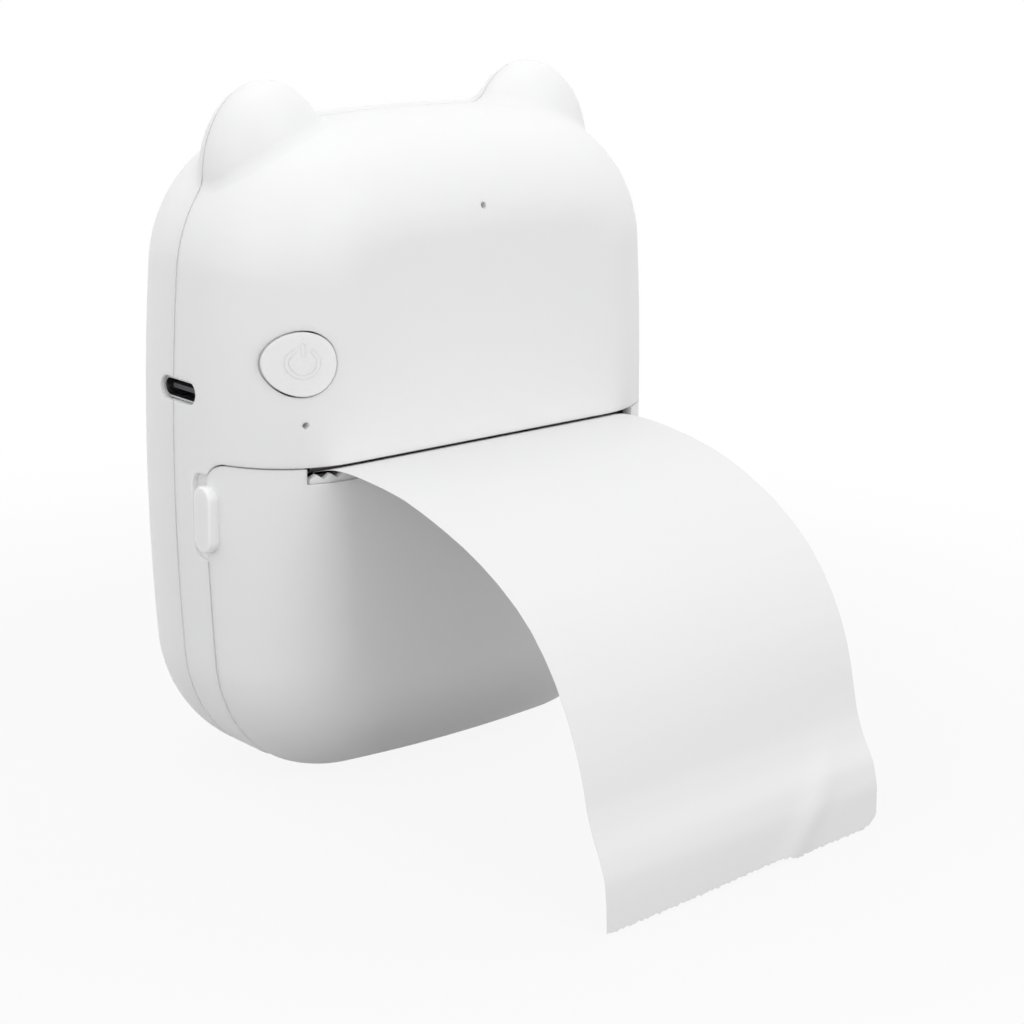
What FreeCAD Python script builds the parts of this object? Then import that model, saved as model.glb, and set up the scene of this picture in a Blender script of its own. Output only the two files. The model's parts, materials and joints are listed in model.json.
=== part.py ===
import FreeCAD, Part
import math
import os

V = FreeCAD.Vector
X_AXIS = V(1, 0, 0)
Y_AXIS = V(0, 1, 0)
SIDES = (-1, 1)

# Pocket thermal printer. X is to the right seen from the front, Y to the rear, Z up.
# The origin is the middle of the flat underside. All sizes are in millimetres.

# Case: a soft block whose outline is eight tangent arcs, rounded at the front and rear
side_room = 6.3
head_room = 47.8
body_depth = 40.0
side_radius = 355.0
end_radius = 330.0
corner_radius = 22.2
front_round = 16.5
rear_round = 15.0
foot_trim = 0.45
wall = 1.8

# Ears: egg-shaped domes that grow out of the top corners
ear_side_room = 16.2
ear_top_room = 8.0
ear_y = 0.5
ear_half_width = 10.3
ear_half_depth = 8.8
ear_half_height = 13.8

# Seams between the shells and round the paper cover
seam_y = 2.0
seam_gap = 0.25
cover_y = -6.1
slot_z = 52.2
cover_corner = 3.5
lip_length = 1.6
lip_clearance = 0.12

# Clearances
fit = 0.05
slip = 0.02
play = 0.3

# Cover hinge along the lower edge
hinge_z = 2.7
hinge_barrel = 2.6
hinge_open = 85.0
hinge_pin_radius = 1.0
hinge_pin_half = 19.5
hinge_barrel_half = 27.0
knuckle_x = 11.0
knuckle_width = 4.0

# Finger tabs on the side edges of the cover
tab_width = 4.1
tab_height = 10.1
tab_z = 43.5
tab_y = -6.35
tab_proud = 0.95
tab_recess = 0.9
recess_margin = 1.6
tab_edge = 0.35

# Paper
paper_width = 57.0
paper_thickness = 0.08
roll_radius = 15.0
core_radius = 6.0
core_wall = 1.0
roll_y = 1.0
roll_z = 23.5
paper_gap = 0.1

# Slot and tear bar in the top edge of the cover
slot_margin = 3.5
slot_drop = 2.3
tear_pitch = 2.1
tear_height = 0.75
tear_base = 0.6
tear_depth = 1.0
tear_setback = 0.3
shelf_gap = 0.5

# Way of the hanging paper: distance in front of the case, and height above the table
strip_crest = 3.0
strip_way = ((22.0, 50.3), (41.5, 42.3), (51.8, 25.5), (54.2, 14.2), (58.8, 8.6))
strip_end = 59.3

# Platen and the print line, which lies behind the top of the platen
platen_y = -11.3
platen_z = 44.8
platen_radius = 4.2
platen_margin = 2.5
shaft_radius = 1.5
nip_angle = 16.0
nip_gap = 0.14

# Bushings and the cover's arms that hold the platen
arm_width = 2.1
arm_play = 0.6
arm_eye = 3.4
bushing_radius = 2.4

# Print head
head_margin = 1.0
ceramic_thickness = 0.8
sink_thickness = 3.0
head_front = 3.0
ceramic_rear = 7.0
sink_rear = 10.5
pivot_back = 9.0
pivot_radius = 1.0
spring_x = 14.0
spring_length = 4.0
spring_radius = 1.9
spring_wire = 0.35
spring_turns = 4
spring_steps = 16
spring_sides = 6
groove_pitch = 0.9
groove_width = 0.45
groove_depth = 0.8
groove_start = 1.8
groove_count = 5
groove_margin = 3.0
bar_thickness = 1.5

# Chassis
plate_thickness = 1.2
cradle_gap = 0.6
cradle_wall = 1.2
cradle_front_angle = -125.0
cradle_rear_angle = 35.0
chassis_corner = 2.0
chassis_top_room = 2.0
chassis_tab_margin = 0.8

# Gears, module 0.4
gear_module = 0.4
pressure_angle = 20.0
backlash = 0.06
mesh_clearance = 0.08
platen_teeth = 20
idler_teeth = 30
small_teeth = 14
large_teeth = 32
pinion_teeth = 10
gear_layer = 2.2
layer_gap = 0.3
gear_pin_radius = 0.75
reduction_angle = -20.0
motor_angle = 80.0

# Stepping motor
motor_radius = 7.5
motor_length = 11.0
flange_thickness = 0.6
flange_hole = 9.9
flange_turn = 60.0

# Main board, upright in the middle of the case
board_front = -4.8
board_thickness = 1.2
board_side_room = 13.0
board_low = 60.0
board_top_room = 9.0
board_corner = 1.0
wing_room = 3.5
wing_width = 7.0
wing_below = 3.0
wing_boss_room = 2.0
chip_half = 4.0
chip_height = 1.0
chip_rise = 12.0

# Connectors on the rear face of the board: left, right, depth, lower and upper edge.
# The edges are measured from the board's lower edge, and the battery's from halfway between the screws.
ribbon_plug = (-11.0, 11.0, 2.0, 2.0, 5.5)
motor_plug = (14.0, 21.0, 3.0, 3.0, 7.0)
battery_plug = (22.0, 27.0, 3.5, -2.0, 3.0)

# Power button, switch and pinholes
button_side_room = 9.2
button_z = 67.5
button_proud = 0.12
button_rim = 0.9
button_radius = 4.7
button_gap = 0.25
button_flange = 5.2
button_travel = 0.6
switch_size = 6.0
switch_height = 3.5
plunger_radius = 1.75
plunger_length = 1.5
pinhole_radius = 0.5
pinhole_shift = 0.3
pinhole_low = 58.5
pinhole_top_room = 12.4
guide_radius = 1.2
guide_boss = 2.2
guide_boss_end = -12.0
lamp_size = 1.8
lamp_height = 0.8

# USB-C socket, upright on the rear face of the board
usb_z = 61.6
usb_width = 8.9
usb_height = 3.2
usb_depth = 7.3
usb_wall = 0.3
usb_setback = 0.9
usb_clearance = 0.15
tongue_half = 3.35
tongue_thickness = 0.7
tongue_setback = 0.8

# Battery
battery_half = 20.0
battery_low = 60.0
battery_top_room = 12.0
battery_thickness = 8.5
battery_edge = 1.5
pad_thickness = 0.7
pad_margin = 4.0

# Ribbon, leads and paper sensor
ribbon_half = 10.0
ribbon_thickness = 0.2
ribbon_turn = 3.0
ribbon_lean = 0.6
ribbon_rise = 7.0
ribbon_bow = 2.4
lead_radius = 0.5
lead_pitch = 1.4
lead_inset = 1.8
lead_bow = 4.5
battery_lead_drop = 5.0
battery_lead_turn = 7.0
motor_lead_back = 1.0
motor_lead_rise = 3.5
motor_lead_turn = 5.0
motor_lead_inset = 1.2
motor_lead_spread = 0.8
sensor_side_room = 7.0
sensor_half = 1.7
sensor_height = 1.6
sensor_top = 3.2
sensor_back = 12.0

# Screws and bosses
screw_radius = 1.0
screw_hole = 1.25
screw_head = 2.1
screw_head_height = 1.3
boss_radius = 3.0
counterbore = 2.45
post_radius = 3.5
case_screw_seat = 6.0
case_screw_length = 10.5
short_screw = 4.0
boss_side_room = 8.0
boss_top_room = 18.0
boss_beside = 4.4
lower_boss_z = 24.0
post_side_room = 6.5
post_rise = 2.0
chassis_tab_y = -8.1
board_post_room = (4.5, 5.0)
board_post_rise = 10.0
board_post_radius = 2.2
chassis_post_radius = 2.6

# Worked out from the sizes above
slot_half = paper_width / 2 + slot_margin
platen_half = paper_width / 2 - platen_margin
head_half = paper_width / 2 - head_margin
arm_x = platen_half + play
plate_inner = arm_x + arm_width + arm_play
plate_outer = plate_inner + plate_thickness
layer_a = plate_outer + layer_gap
layer_b = layer_a + gear_layer + layer_gap
half_width = layer_b + gear_layer + side_room
half_depth = body_depth / 2
body_height = slot_z + head_room
outline_low = -foot_trim
outline_middle = (body_height + outline_low) / 2
ear_x = half_width - ear_side_room
ear_z = body_height - ear_top_room
board_rear = board_front + board_thickness
board_half = half_width - board_side_room
board_high = body_height - board_top_room
button_x = button_side_room - half_width
pinholes = ((button_x + pinhole_shift, pinhole_low), (0.0, body_height - pinhole_top_room))
wing_left = wing_room - half_width
wing_right = wing_left + wing_width
wing_low = pinhole_low - wing_below
battery_high = body_height - battery_top_room
sensor_x = sensor_side_room - plate_inner
upper_boss = (half_width - boss_side_room, body_height - boss_top_room)
lower_boss = (plate_outer + boss_beside, lower_boss_z)
wing_high = upper_boss[1] - boss_radius - wing_boss_room
chassis_post = (board_half - post_side_room, board_low + post_rise)
board_posts = (
    (board_half - board_post_room[0], board_high - board_post_room[1]),
    (board_half - post_side_room, board_low + board_post_rise),
)
between_posts = (board_posts[0][1] + board_posts[1][1]) / 2
nip_radius = platen_radius + nip_gap
sink_low = nip_radius + ceramic_thickness
sink_high = sink_low + sink_thickness
bar_low = sink_high + spring_length
far = 2 * (2 * half_width + body_height + body_depth)
platen_place = (platen_y, platen_z)


def box(x0, x1, y0, y1, z0, z1):
    """Block between two corners."""
    return Part.makeBox(x1 - x0, y1 - y0, z1 - z0, V(x0, y0, z0))


def rod_x(radius, x0, x1, y, z):
    """Round bar along X."""
    return Part.makeCylinder(radius, x1 - x0, V(x0, y, z), X_AXIS)


def rod_y(radius, y0, y1, x, z):
    """Round bar along Y."""
    return Part.makeCylinder(radius, y1 - y0, V(x, y0, z), Y_AXIS)


def fused(shapes):
    """One shape from several that touch or overlap."""
    return shapes[0].multiFuse(shapes[1:]).removeSplitter() if len(shapes) > 1 else shapes[0]


def mirrored(shape):
    """The shape and its mirror image in the middle plane."""
    return [shape, shape.mirror(V(0, 0, 0), X_AXIS)]


def rounded_route(places, radii, shift=0.0):
    """Edges of a route with rounded corners; one in the YZ plane may be moved sideways by shift."""
    runs = [(b - a).normalize() for a, b in zip(places, places[1:])]
    sides = [X_AXIS.cross(run) for run in runs]
    edges = []
    start = places[0] + sides[0] * shift
    for corner, radius, run, after in zip(places[1:-1], radii, runs, runs[1:]):
        turn = run.getAngle(after)
        reach = radius * math.tan(turn / 2)
        bend = 1.0 if run.cross(after).x > 0 else -1.0
        inward = (after - run).normalize()
        centre = corner + inward * (radius / math.cos(turn / 2))
        into = corner - run * reach + X_AXIS.cross(run) * shift
        out = corner + after * reach + X_AXIS.cross(after) * shift
        middle = centre - inward * (radius - bend * shift)
        edges.append(Part.LineSegment(start, into).toShape())
        edges.append(Part.Arc(into, middle, out).toShape())
        start = out
    edges.append(Part.LineSegment(start, places[-1] + sides[-1] * shift).toShape())
    return edges


def even_radii(places, share=0.45):
    """For each corner of a route the largest radius that its two runs leave room for."""
    radii = []
    for a, b, c in zip(places, places[1:], places[2:]):
        turn = (b - a).getAngle(c - b)
        radii.append(share * min((b - a).Length, (c - b).Length) / math.tan(turn / 2))
    return radii


def sheet(points, share, thickness, x0, x1):
    """Bent sheet of even thickness whose middle follows a route in the YZ plane."""
    places = [V(0, y, z) for y, z in points]
    radii = even_radii(places, share)
    above = rounded_route(places, radii, thickness / 2)
    below = rounded_route(places, radii, -thickness / 2)
    first = Part.LineSegment(below[0].firstVertex().Point, above[0].firstVertex().Point).toShape()
    last = Part.LineSegment(above[-1].lastVertex().Point, below[-1].lastVertex().Point).toShape()
    wire = Part.Wire(Part.__sortEdges__(above + [last] + below + [first]))
    plate = Part.Face(wire).extrude(V(x1 - x0, 0, 0))
    plate.translate(V(x0, 0, 0))
    return plate


def lead(points):
    """Round wire along a route of straight runs and arcs."""
    places = [V(*p) for p in points]
    path = Part.Wire(rounded_route(places, even_radii(places)))
    section = Part.Wire(Part.makeCircle(lead_radius, places[0], places[1] - places[0]))
    return path.makePipeShell([section], True, False)


def prism_x(corners, x0, x1):
    """Plate with a profile in the YZ plane; a corner is (y, z) or (y, z, radius)."""
    points = [(V(0, c[0], c[1]), c[2] if len(c) > 2 else 0.0) for c in corners]
    return prism(points, V(x0, 0, 0), V(x1 - x0, 0, 0))


def prism_y(corners, y0, y1):
    """Plate with a profile in the XZ plane; a corner is (x, z) or (x, z, radius)."""
    points = [(V(c[0], 0, c[1]), c[2] if len(c) > 2 else 0.0) for c in corners]
    return prism(points, V(0, y0, 0), V(0, y1 - y0, 0))


def prism(corners, place, length):
    """Plate from corner points, each with its rounding, at a place and along a length."""
    edges = []
    ends = []
    count = len(corners)
    for i in range(count):
        before = corners[i - 1][0]
        point, radius = corners[i]
        after = corners[(i + 1) % count][0]
        if radius == 0:
            ends.append((point, point, None))
            continue
        back = (before - point).normalize()
        ahead = (after - point).normalize()
        half = back.getAngle(ahead) / 2
        reach = radius / math.tan(half)
        middle = point + (back + ahead).normalize() * (radius / math.sin(half) - radius)
        ends.append((point + back * reach, point + ahead * reach, middle))
    for i in range(count):
        into, out, middle = ends[i]
        if middle is not None:
            edges.append(Part.Arc(into, middle, out).toShape())
        following = ends[(i + 1) % count][0]
        if (following - out).Length > 1e-6:
            edges.append(Part.LineSegment(out, following).toShape())
    plate = Part.Face(Part.Wire(edges)).extrude(length)
    plate.translate(place)
    return plate


def tilted(shape):
    """Shape drawn with the print line straight above the platen, turned to its true place."""
    turned = shape.copy()
    turned.rotate(V(0, platen_y, platen_z), X_AXIS, -nip_angle)
    return turned


def print_place(back, up):
    """Place of a point given behind and above the platen's axis before the tilt."""
    angle = math.radians(nip_angle)
    y = platen_y + back * math.cos(angle) + up * math.sin(angle)
    z = platen_z - back * math.sin(angle) + up * math.cos(angle)
    return y, z


def soft_outline(inset, y):
    """Outline of the case: four long arcs and four corner arcs, all tangent."""
    side_centre = V(half_width - side_radius, y, outline_middle)
    end_centre = V(0, y, body_height - end_radius)
    span = end_centre - side_centre
    to_side = side_radius - corner_radius
    to_end = end_radius - corner_radius
    along = (to_side ** 2 - to_end ** 2 + span.Length ** 2) / (2 * span.Length)
    across = math.sqrt(to_side ** 2 - along ** 2)
    unit = V(span).normalize()
    corner = side_centre + unit * along + V(-unit.z, 0, unit.x) * -across
    if corner.x < 0:
        corner = side_centre + unit * along + V(-unit.z, 0, unit.x) * across
    side_way = (corner - side_centre).normalize()
    end_way = (corner - end_centre).normalize()
    side_end = side_centre + side_way * (side_radius - inset)
    end_end = end_centre + end_way * (end_radius - inset)
    bend = corner + (side_way + end_way).normalize() * (corner_radius - inset)

    def place(point, across_sign, up_sign):
        return V(across_sign * point.x, y, outline_middle + up_sign * (point.z - outline_middle))

    right = V(half_width - inset, y, outline_middle)
    top = V(0, y, body_height - inset)
    edges = []
    for sx, sz in ((1, 1), (-1, 1), (-1, -1), (1, -1)):
        ends = [place(side_end, sx, sz), place(bend, sx, sz), place(end_end, sx, sz)]
        edges.append(Part.Arc(*ends).toShape())
    for sx in SIDES:
        edges.append(Part.Arc(place(side_end, sx, -1), place(right, sx, 1), place(side_end, sx, 1)).toShape())
    for sz in SIDES:
        edges.append(Part.Arc(place(end_end, -1, sz), place(top, 1, sz), place(end_end, 1, sz)).toShape())
    return Part.Wire(Part.__sortEdges__(edges))


def soft_prism(inset, y0, y1):
    """Straight block with the case's outline."""
    return Part.Face(soft_outline(inset, y0)).extrude(V(0, y1 - y0, 0))


def edges_at(shape, y):
    """Edges that lie in a plane across Y."""
    return [e for e in shape.Edges if all(abs(v.Y - y) < 1e-6 for v in e.Vertexes)]


def soft_body(inset):
    """The case's block, smaller by an inset all round, with its flat underside."""
    front = inset - half_depth
    rear = half_depth - inset
    block = soft_prism(inset, front, rear)
    block = block.makeFillet(front_round - inset, edges_at(block, front))
    block = block.makeFillet(rear_round - inset, edges_at(block, rear))
    return block.common(box(-far, far, -far, far, inset, far))


def ears(inset):
    """Both ears as full egg shapes, smaller by an inset."""
    size = FreeCAD.Matrix()
    size.scale(ear_half_width - inset, ear_half_depth - inset, ear_half_height - inset)
    egg = Part.makeSphere(1.0).transformGeometry(size)
    egg.translate(V(ear_x, ear_y, ear_z))
    return mirrored(egg)


def cover_space(y, z, corner):
    """Everything in front of the cover's rear edge and below its top edge."""
    return prism_x([(-far, -far), (y, -far), (y, z, corner), (-far, z)], -far, far)


hinge_y = cover_y
hinge_swing = hinge_z / math.cos(math.radians(hinge_open / 2)) + play
block = soft_body(0.0)
wall_core = soft_body(wall * 0.5)
hollow = soft_body(wall)
case_wall = fused([block] + ears(0.0)).cut(fused([hollow] + ears(wall)))
front_edge = seam_y - seam_gap / 2
rear_edge = seam_y + seam_gap / 2


def usb_mouth(clearance, x0, x1):
    """Rounded slot shape of the socket, on its side, along X."""
    y0 = board_rear - clearance
    y1 = board_rear + usb_width + clearance
    z0 = usb_z - usb_height / 2 - clearance
    z1 = usb_z + usb_height / 2 + clearance
    corner = (z1 - z0) / 2 - 0.01
    outline = [(y0, z0, corner), (y1, z0, corner), (y1, z1, corner), (y0, z1, corner)]
    return prism_x(outline, x0, x1)


def boss_column(place, radius, y0, y1):
    """A pair of round columns along Y, kept inside the case wall."""
    x, z = place
    return [c.common(wall_core) for c in mirrored(rod_y(radius, y0, y1, x, z))]


def holes(place, radius, y0, y1):
    """A pair of round holes along Y."""
    x, z = place
    return mirrored(rod_y(radius, y0, y1, x, z))


def knuckle_spans(extra):
    """Places along the hinge of the two knuckles on the front shell."""
    half = knuckle_width / 2 + extra
    return [(s * knuckle_x - half, s * knuckle_x + half) for s in SIDES]


def tab_shape(margin, x0, x1):
    """Outline of the finger tab seen from the side, grown by a margin."""
    y0 = tab_y - tab_width / 2 - margin
    y1 = tab_y + tab_width / 2 + margin
    z0 = tab_z - tab_height / 2 - margin
    z1 = tab_z + tab_height / 2 + margin
    corner = min(tab_width / 2, (y1 - y0) / 2) - 0.05
    return prism_x([(y0, z0, corner), (y1, z0, corner), (y1, z1, corner), (y0, z1, corner)], x0, x1)


def make_front_shell():
    """Upper front and side walls with the front halves of the ears."""
    cover_cut = cover_space(cover_y + seam_gap, slot_z, cover_corner + seam_gap)
    shell = case_wall.cut([box(-far, far, front_edge, far, -far, far), cover_cut])
    lip_outer = soft_prism(wall * 0.5 + lip_clearance, front_edge - wall, front_edge + lip_length)
    lip = lip_outer.cut([soft_prism(wall, -far, far), box(-far, far, -far, far, -far, wall)])
    solid = boss_column(upper_boss, boss_radius, -half_depth, front_edge)
    lower_end = -play / 3
    lower = boss_column(lower_boss, boss_radius, cover_y + seam_gap + play, lower_end)
    x, z = lower_boss
    rib = box(x, far, cover_y + seam_gap + play, lower_end, z - wall / 2, z + wall / 2)
    ribs = [r.common(wall_core) for r in mirrored(rib)]
    posts = boss_column(chassis_post, chassis_post_radius, -half_depth, chassis_tab_y)
    for post in board_posts:
        posts += boss_column(post, board_post_radius, -half_depth, board_front)
    guides = [rod_y(guide_boss, -half_depth, guide_boss_end, px, pz).common(wall_core) for px, pz in pinholes]
    shell = fused([shell, lip] + solid + lower + ribs + posts + guides)
    swing_half = hinge_barrel_half + 2 * wall
    swing = rod_x(hinge_swing, -swing_half, swing_half, hinge_y, hinge_z)
    cuts = [swing]
    cuts += holes(upper_boss, screw_radius + slip, case_screw_seat - case_screw_length - play, far)
    cuts += holes(lower_boss, screw_radius + slip, case_screw_seat - case_screw_length - play, far)
    cuts += holes(chassis_post, screw_radius + slip, chassis_tab_y - short_screw - play, far)
    for post in board_posts:
        cuts += holes(post, screw_radius + slip, board_front - short_screw - play, far)
    for px, pz in pinholes:
        cuts.append(rod_y(pinhole_radius, -far, 0, px, pz))
        cuts.append(rod_y(guide_radius + fit, guide_front(px, pz), 0, px, pz))
    cuts.append(rod_y(button_radius + button_gap, -far, button_flange_front() + play, button_x, button_z))
    cuts.append(usb_mouth(usb_clearance, -far, wing_left))
    for side in mirrored(tab_shape(recess_margin, half_width - tab_recess, far)):
        cuts.append(side)
    shell = shell.cut(cuts)
    knuckles = []
    for x0, x1 in knuckle_spans(0.0):
        ring = rod_x(hinge_barrel, x0, x1, hinge_y, hinge_z)
        web = box(x0, x1, hinge_y, hinge_y + hinge_swing + wall, play, hinge_z + hinge_pin_radius)
        knuckles.append(ring.fuse(web))
    shell = fused([shell] + knuckles)
    return shell.cut(rod_x(hinge_pin_radius + slip, -hinge_pin_half, hinge_pin_half, hinge_y, hinge_z))


def make_rear_shell():
    """Rear wall with the rear halves of the ears and the posts for the case screws."""
    shell = case_wall.common(box(-far, far, rear_edge, far, -far, far))
    upper = boss_column(upper_boss, post_radius, rear_edge, half_depth)
    lower = boss_column(lower_boss, post_radius, bar_thickness + fit, half_depth)
    lip_room = soft_prism(wall * 0.5, rear_edge - wall, rear_edge + lip_length + play)
    lip_room = lip_room.cut(soft_prism(wall + post_radius, -far, far))
    shell = fused([shell.cut(lip_room)] + upper + lower)
    cuts = [usb_mouth(usb_clearance, -far, wing_left)]
    for place in (upper_boss, lower_boss):
        cuts += holes(place, screw_hole, -far, far)
        cuts += holes(place, counterbore, case_screw_seat, far)
    return shell.cut(cuts)


def make_cover():
    """Lower front cover with its arms, paper shelf, finger tabs and hinge barrel."""
    top = slot_z - seam_gap
    shell = case_wall.common(cover_space(cover_y, top, cover_corner))
    notch_floor = top - slot_drop
    notch = box(-slot_half, slot_half, -far, cover_y, notch_floor, far)
    pin_half = hinge_pin_half + play
    hinge_cuts = [rod_x(hinge_pin_radius + fit, -pin_half, pin_half, hinge_y, hinge_z)]
    for x0, x1 in knuckle_spans(play):
        hinge_cuts.append(rod_x(hinge_swing, x0, x1, hinge_y, hinge_z))
    gear_room = rod_x(gear_module * (platen_teeth / 2 + 1) + play, -far, far, *platen_place)
    shell = shell.cut([notch] + hinge_cuts)
    shelf_rear = platen_y - nip_radius * 0.45
    line = [strip_height(y) - shelf_gap for y in (-half_depth, shelf_rear)]
    shelf = prism_x([(-half_depth, line[0] - wall - 0.4), (shelf_rear, line[1] - wall),
                     (shelf_rear, line[1], 0.4), (-half_depth, line[0])], -slot_half - wall, slot_half + wall)
    shelf = shelf.common(box(-far, far, -far, far, -far, notch_floor)).common(wall_core)
    shelf = shelf.cut(gear_room)
    arms = []
    root = -half_depth + wall / 2
    for arm in (prism_x([(root, platen_z - 3 * arm_eye), (platen_y, platen_z - arm_eye),
                         (platen_y, platen_z + arm_eye * 0.9), (root, platen_z + arm_eye * 0.9)],
                        arm_x, arm_x + arm_width),
                rod_x(arm_eye, arm_x, arm_x + arm_width, platen_y, platen_z)):
        arms += mirrored(arm)
    tab = tab_shape(0.0, half_width - wall * 0.3, half_width + tab_proud)
    tab = tab.makeFillet(tab_edge, [e for e in tab.Edges if all(v.X > half_width for v in e.Vertexes)])
    root_half = tab_shape(0.0, half_width - wall, half_width)
    roots = mirrored(root_half.common(box(-far, far, -far, cover_y, -far, far)))
    barrel = rod_x(hinge_barrel, -hinge_barrel_half, hinge_barrel_half, hinge_y, hinge_z)
    barrel = barrel.common(block).cut(hinge_cuts)
    cover = fused([shell, shelf, barrel] + arms + mirrored(tab) + roots)
    cuts = mirrored(rod_x(bushing_radius, arm_x, arm_x + arm_width, *platen_place))
    cuts.append(gear_room.common(box(plate_inner, layer_a + gear_layer + play, -far, far, -far, far)))
    return cover.cut(cuts)


def make_tear_bar():
    """Toothed strip that stands on the lowered top edge of the cover."""
    low = slot_z - seam_gap - slot_drop
    count = int(2 * (slot_half - play) / tear_pitch)
    start = -count * tear_pitch / 2
    corners = [(start, low), (-start, low), (-start, low + tear_base)]
    for i in range(count):
        corners.append((-start - (i + 0.5) * tear_pitch, low + tear_base + tear_height))
        corners.append((-start - (i + 1) * tear_pitch, low + tear_base))
    teeth = prism_y(corners, -half_depth, -half_depth + front_round / 2)
    skin = soft_body(tear_setback).cut(soft_body(tear_setback + tear_depth))
    return teeth.common(skin)


def strip_height(y):
    """Height of the paper's middle line between the print line and the slot."""
    y0, z0 = print_place(0.0, platen_radius + nip_gap / 2)
    return z0 + (y0 - y) * math.tan(math.radians(nip_angle))


def make_strip():
    """Printed paper from the print line, out of the slot and down to the table."""
    y0, z0 = print_place(-0.15, platen_radius + nip_gap / 2)
    crest = -half_depth - strip_crest
    points = [(y0, z0), (crest, strip_height(crest))]
    points += [(-half_depth - ahead, height) for ahead, height in strip_way]
    points.append((-half_depth - strip_end, paper_thickness))
    return sheet(points, 0.45, paper_thickness, -paper_width / 2, paper_width / 2)


def web_tangent():
    """Direction square to the web, on the outer side of both the roll and the platen."""
    dy = platen_y - roll_y
    dz = platen_z - roll_z
    span = math.hypot(dy, dz)
    drop = (roll_radius + paper_gap) - (platen_radius + nip_gap / 2)
    angle = math.atan2(dz, dy) - math.acos(drop / span)
    return math.cos(angle), math.sin(angle)


def make_web():
    """Paper between the roll and the print line."""
    ny, nz = web_tangent()
    middle = platen_radius + nip_gap / 2
    outer = roll_radius + paper_gap + paper_thickness / 2
    start = (roll_y + outer * ny, roll_z + outer * nz)
    end = print_place(0.15, middle)
    angle = math.radians(nip_angle)
    half = (math.atan2(ny, nz) - angle) / 2
    middle_way = angle + half
    reach = middle / math.cos(half)
    bend = (platen_y + reach * math.sin(middle_way), platen_z + reach * math.cos(middle_way))
    return sheet([start, bend, end], 0.9, paper_thickness, -paper_width / 2, paper_width / 2)


def make_roll():
    """Wound paper, as a thick tube."""
    half = paper_width / 2
    roll = rod_x(roll_radius, -half, half, roll_y, roll_z)
    return roll.cut(rod_x(core_radius, -half, half, roll_y, roll_z))


def make_core():
    """Card tube that the paper is wound on."""
    half = paper_width / 2
    outer = rod_x(core_radius, -half, half, roll_y, roll_z)
    return outer.cut(rod_x(core_radius - core_wall, -half, half, roll_y, roll_z))


def gear_outline(teeth, phase):
    """Outline of a gear in the YZ plane with curved flanks; phase is the angle of one tooth."""
    pitch_radius = gear_module * teeth / 2
    alpha = math.radians(pressure_angle)
    base = pitch_radius * math.cos(alpha)
    tip = pitch_radius + gear_module
    root = pitch_radius - 1.25 * gear_module
    half_tooth = math.pi / (2 * teeth) - backlash / (2 * pitch_radius)
    at_pitch = math.tan(alpha) - alpha

    def flank(radius):
        if radius <= base:
            return half_tooth + at_pitch
        roll_angle = math.acos(base / radius)
        return half_tooth + at_pitch - (math.tan(roll_angle) - roll_angle)

    def place(radius, angle):
        return V(0, radius * math.cos(angle), radius * math.sin(angle))

    low = max(base, root)
    edges = []
    step = 2 * math.pi / teeth
    for i in range(teeth):
        centre = phase + i * step
        foot = place(root, centre - flank(low))
        up = [place(r, centre - flank(r)) for r in (low, (low + tip) / 2, tip)]
        down = [place(r, centre + flank(r)) for r in (tip, (low + tip) / 2, low)]
        heel = place(root, centre + flank(low))
        next_foot = place(root, centre + step - flank(low))
        if low > root:
            edges.append(Part.LineSegment(foot, up[0]).toShape())
        edges.append(Part.Arc(*up).toShape())
        edges.append(Part.LineSegment(up[-1], down[0]).toShape())
        edges.append(Part.Arc(*down).toShape())
        if low > root:
            edges.append(Part.LineSegment(down[-1], heel).toShape())
        edges.append(Part.LineSegment(heel, next_foot).toShape())
    return Part.Wire(edges)


def gear(teeth, phase, x0, x1, place, bore):
    """Spur gear along X with a bore."""
    wheel = Part.Face(gear_outline(teeth, phase)).extrude(V(x1 - x0, 0, 0))
    wheel.translate(V(x0, place[0], place[1]))
    return wheel.cut(rod_x(bore, x0, x1, place[0], place[1]))


def centre_distance(teeth, other):
    """Distance between two meshed gears, with a little clearance."""
    return gear_module * (teeth + other) / 2 + mesh_clearance


def beside(place, angle, distance):
    """Place at an angle and distance from another."""
    return place[0] + distance * math.cos(angle), place[1] + distance * math.sin(angle)


def meshed_phase(teeth, phase, other, angle):
    """Phase of the second gear of a pair, for a gap to face each tooth of the first."""
    return angle + math.pi + math.pi / other - (phase - angle) * teeth / other


leave_angle = math.atan2(hinge_y - platen_y, platen_z - hinge_z)
idler_place = beside(platen_place, leave_angle, centre_distance(platen_teeth, idler_teeth))
to_reduction = math.radians(reduction_angle)
reduction_place = beside(idler_place, to_reduction, centre_distance(idler_teeth, small_teeth))
to_motor = math.radians(motor_angle)
motor_place = beside(reduction_place, to_motor, centre_distance(large_teeth, pinion_teeth))
platen_phase = leave_angle
idler_phase = meshed_phase(platen_teeth, platen_phase, idler_teeth, leave_angle)
small_phase = meshed_phase(idler_teeth, idler_phase, small_teeth, to_reduction)
large_phase = to_motor
pinion_phase = meshed_phase(large_teeth, large_phase, pinion_teeth, to_motor)


def make_platen_gear():
    """Gear on the right end of the platen's shaft."""
    return gear(platen_teeth, platen_phase, layer_a, layer_a + gear_layer, platen_place, shaft_radius)


def make_idler_gear():
    """Gear between the platen and the reduction gear, with round lightening holes."""
    wheel = gear(idler_teeth, idler_phase, layer_a, layer_a + gear_layer, idler_place, gear_pin_radius + fit)
    ring = gear_module * idler_teeth / 4 + gear_pin_radius
    for i in range(5):
        y, z = beside(idler_place, 2 * math.pi * i / 5, ring)
        wheel = wheel.cut(rod_x(gear_module * 2.5, layer_a, layer_a + gear_layer, y, z))
    return wheel


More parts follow.
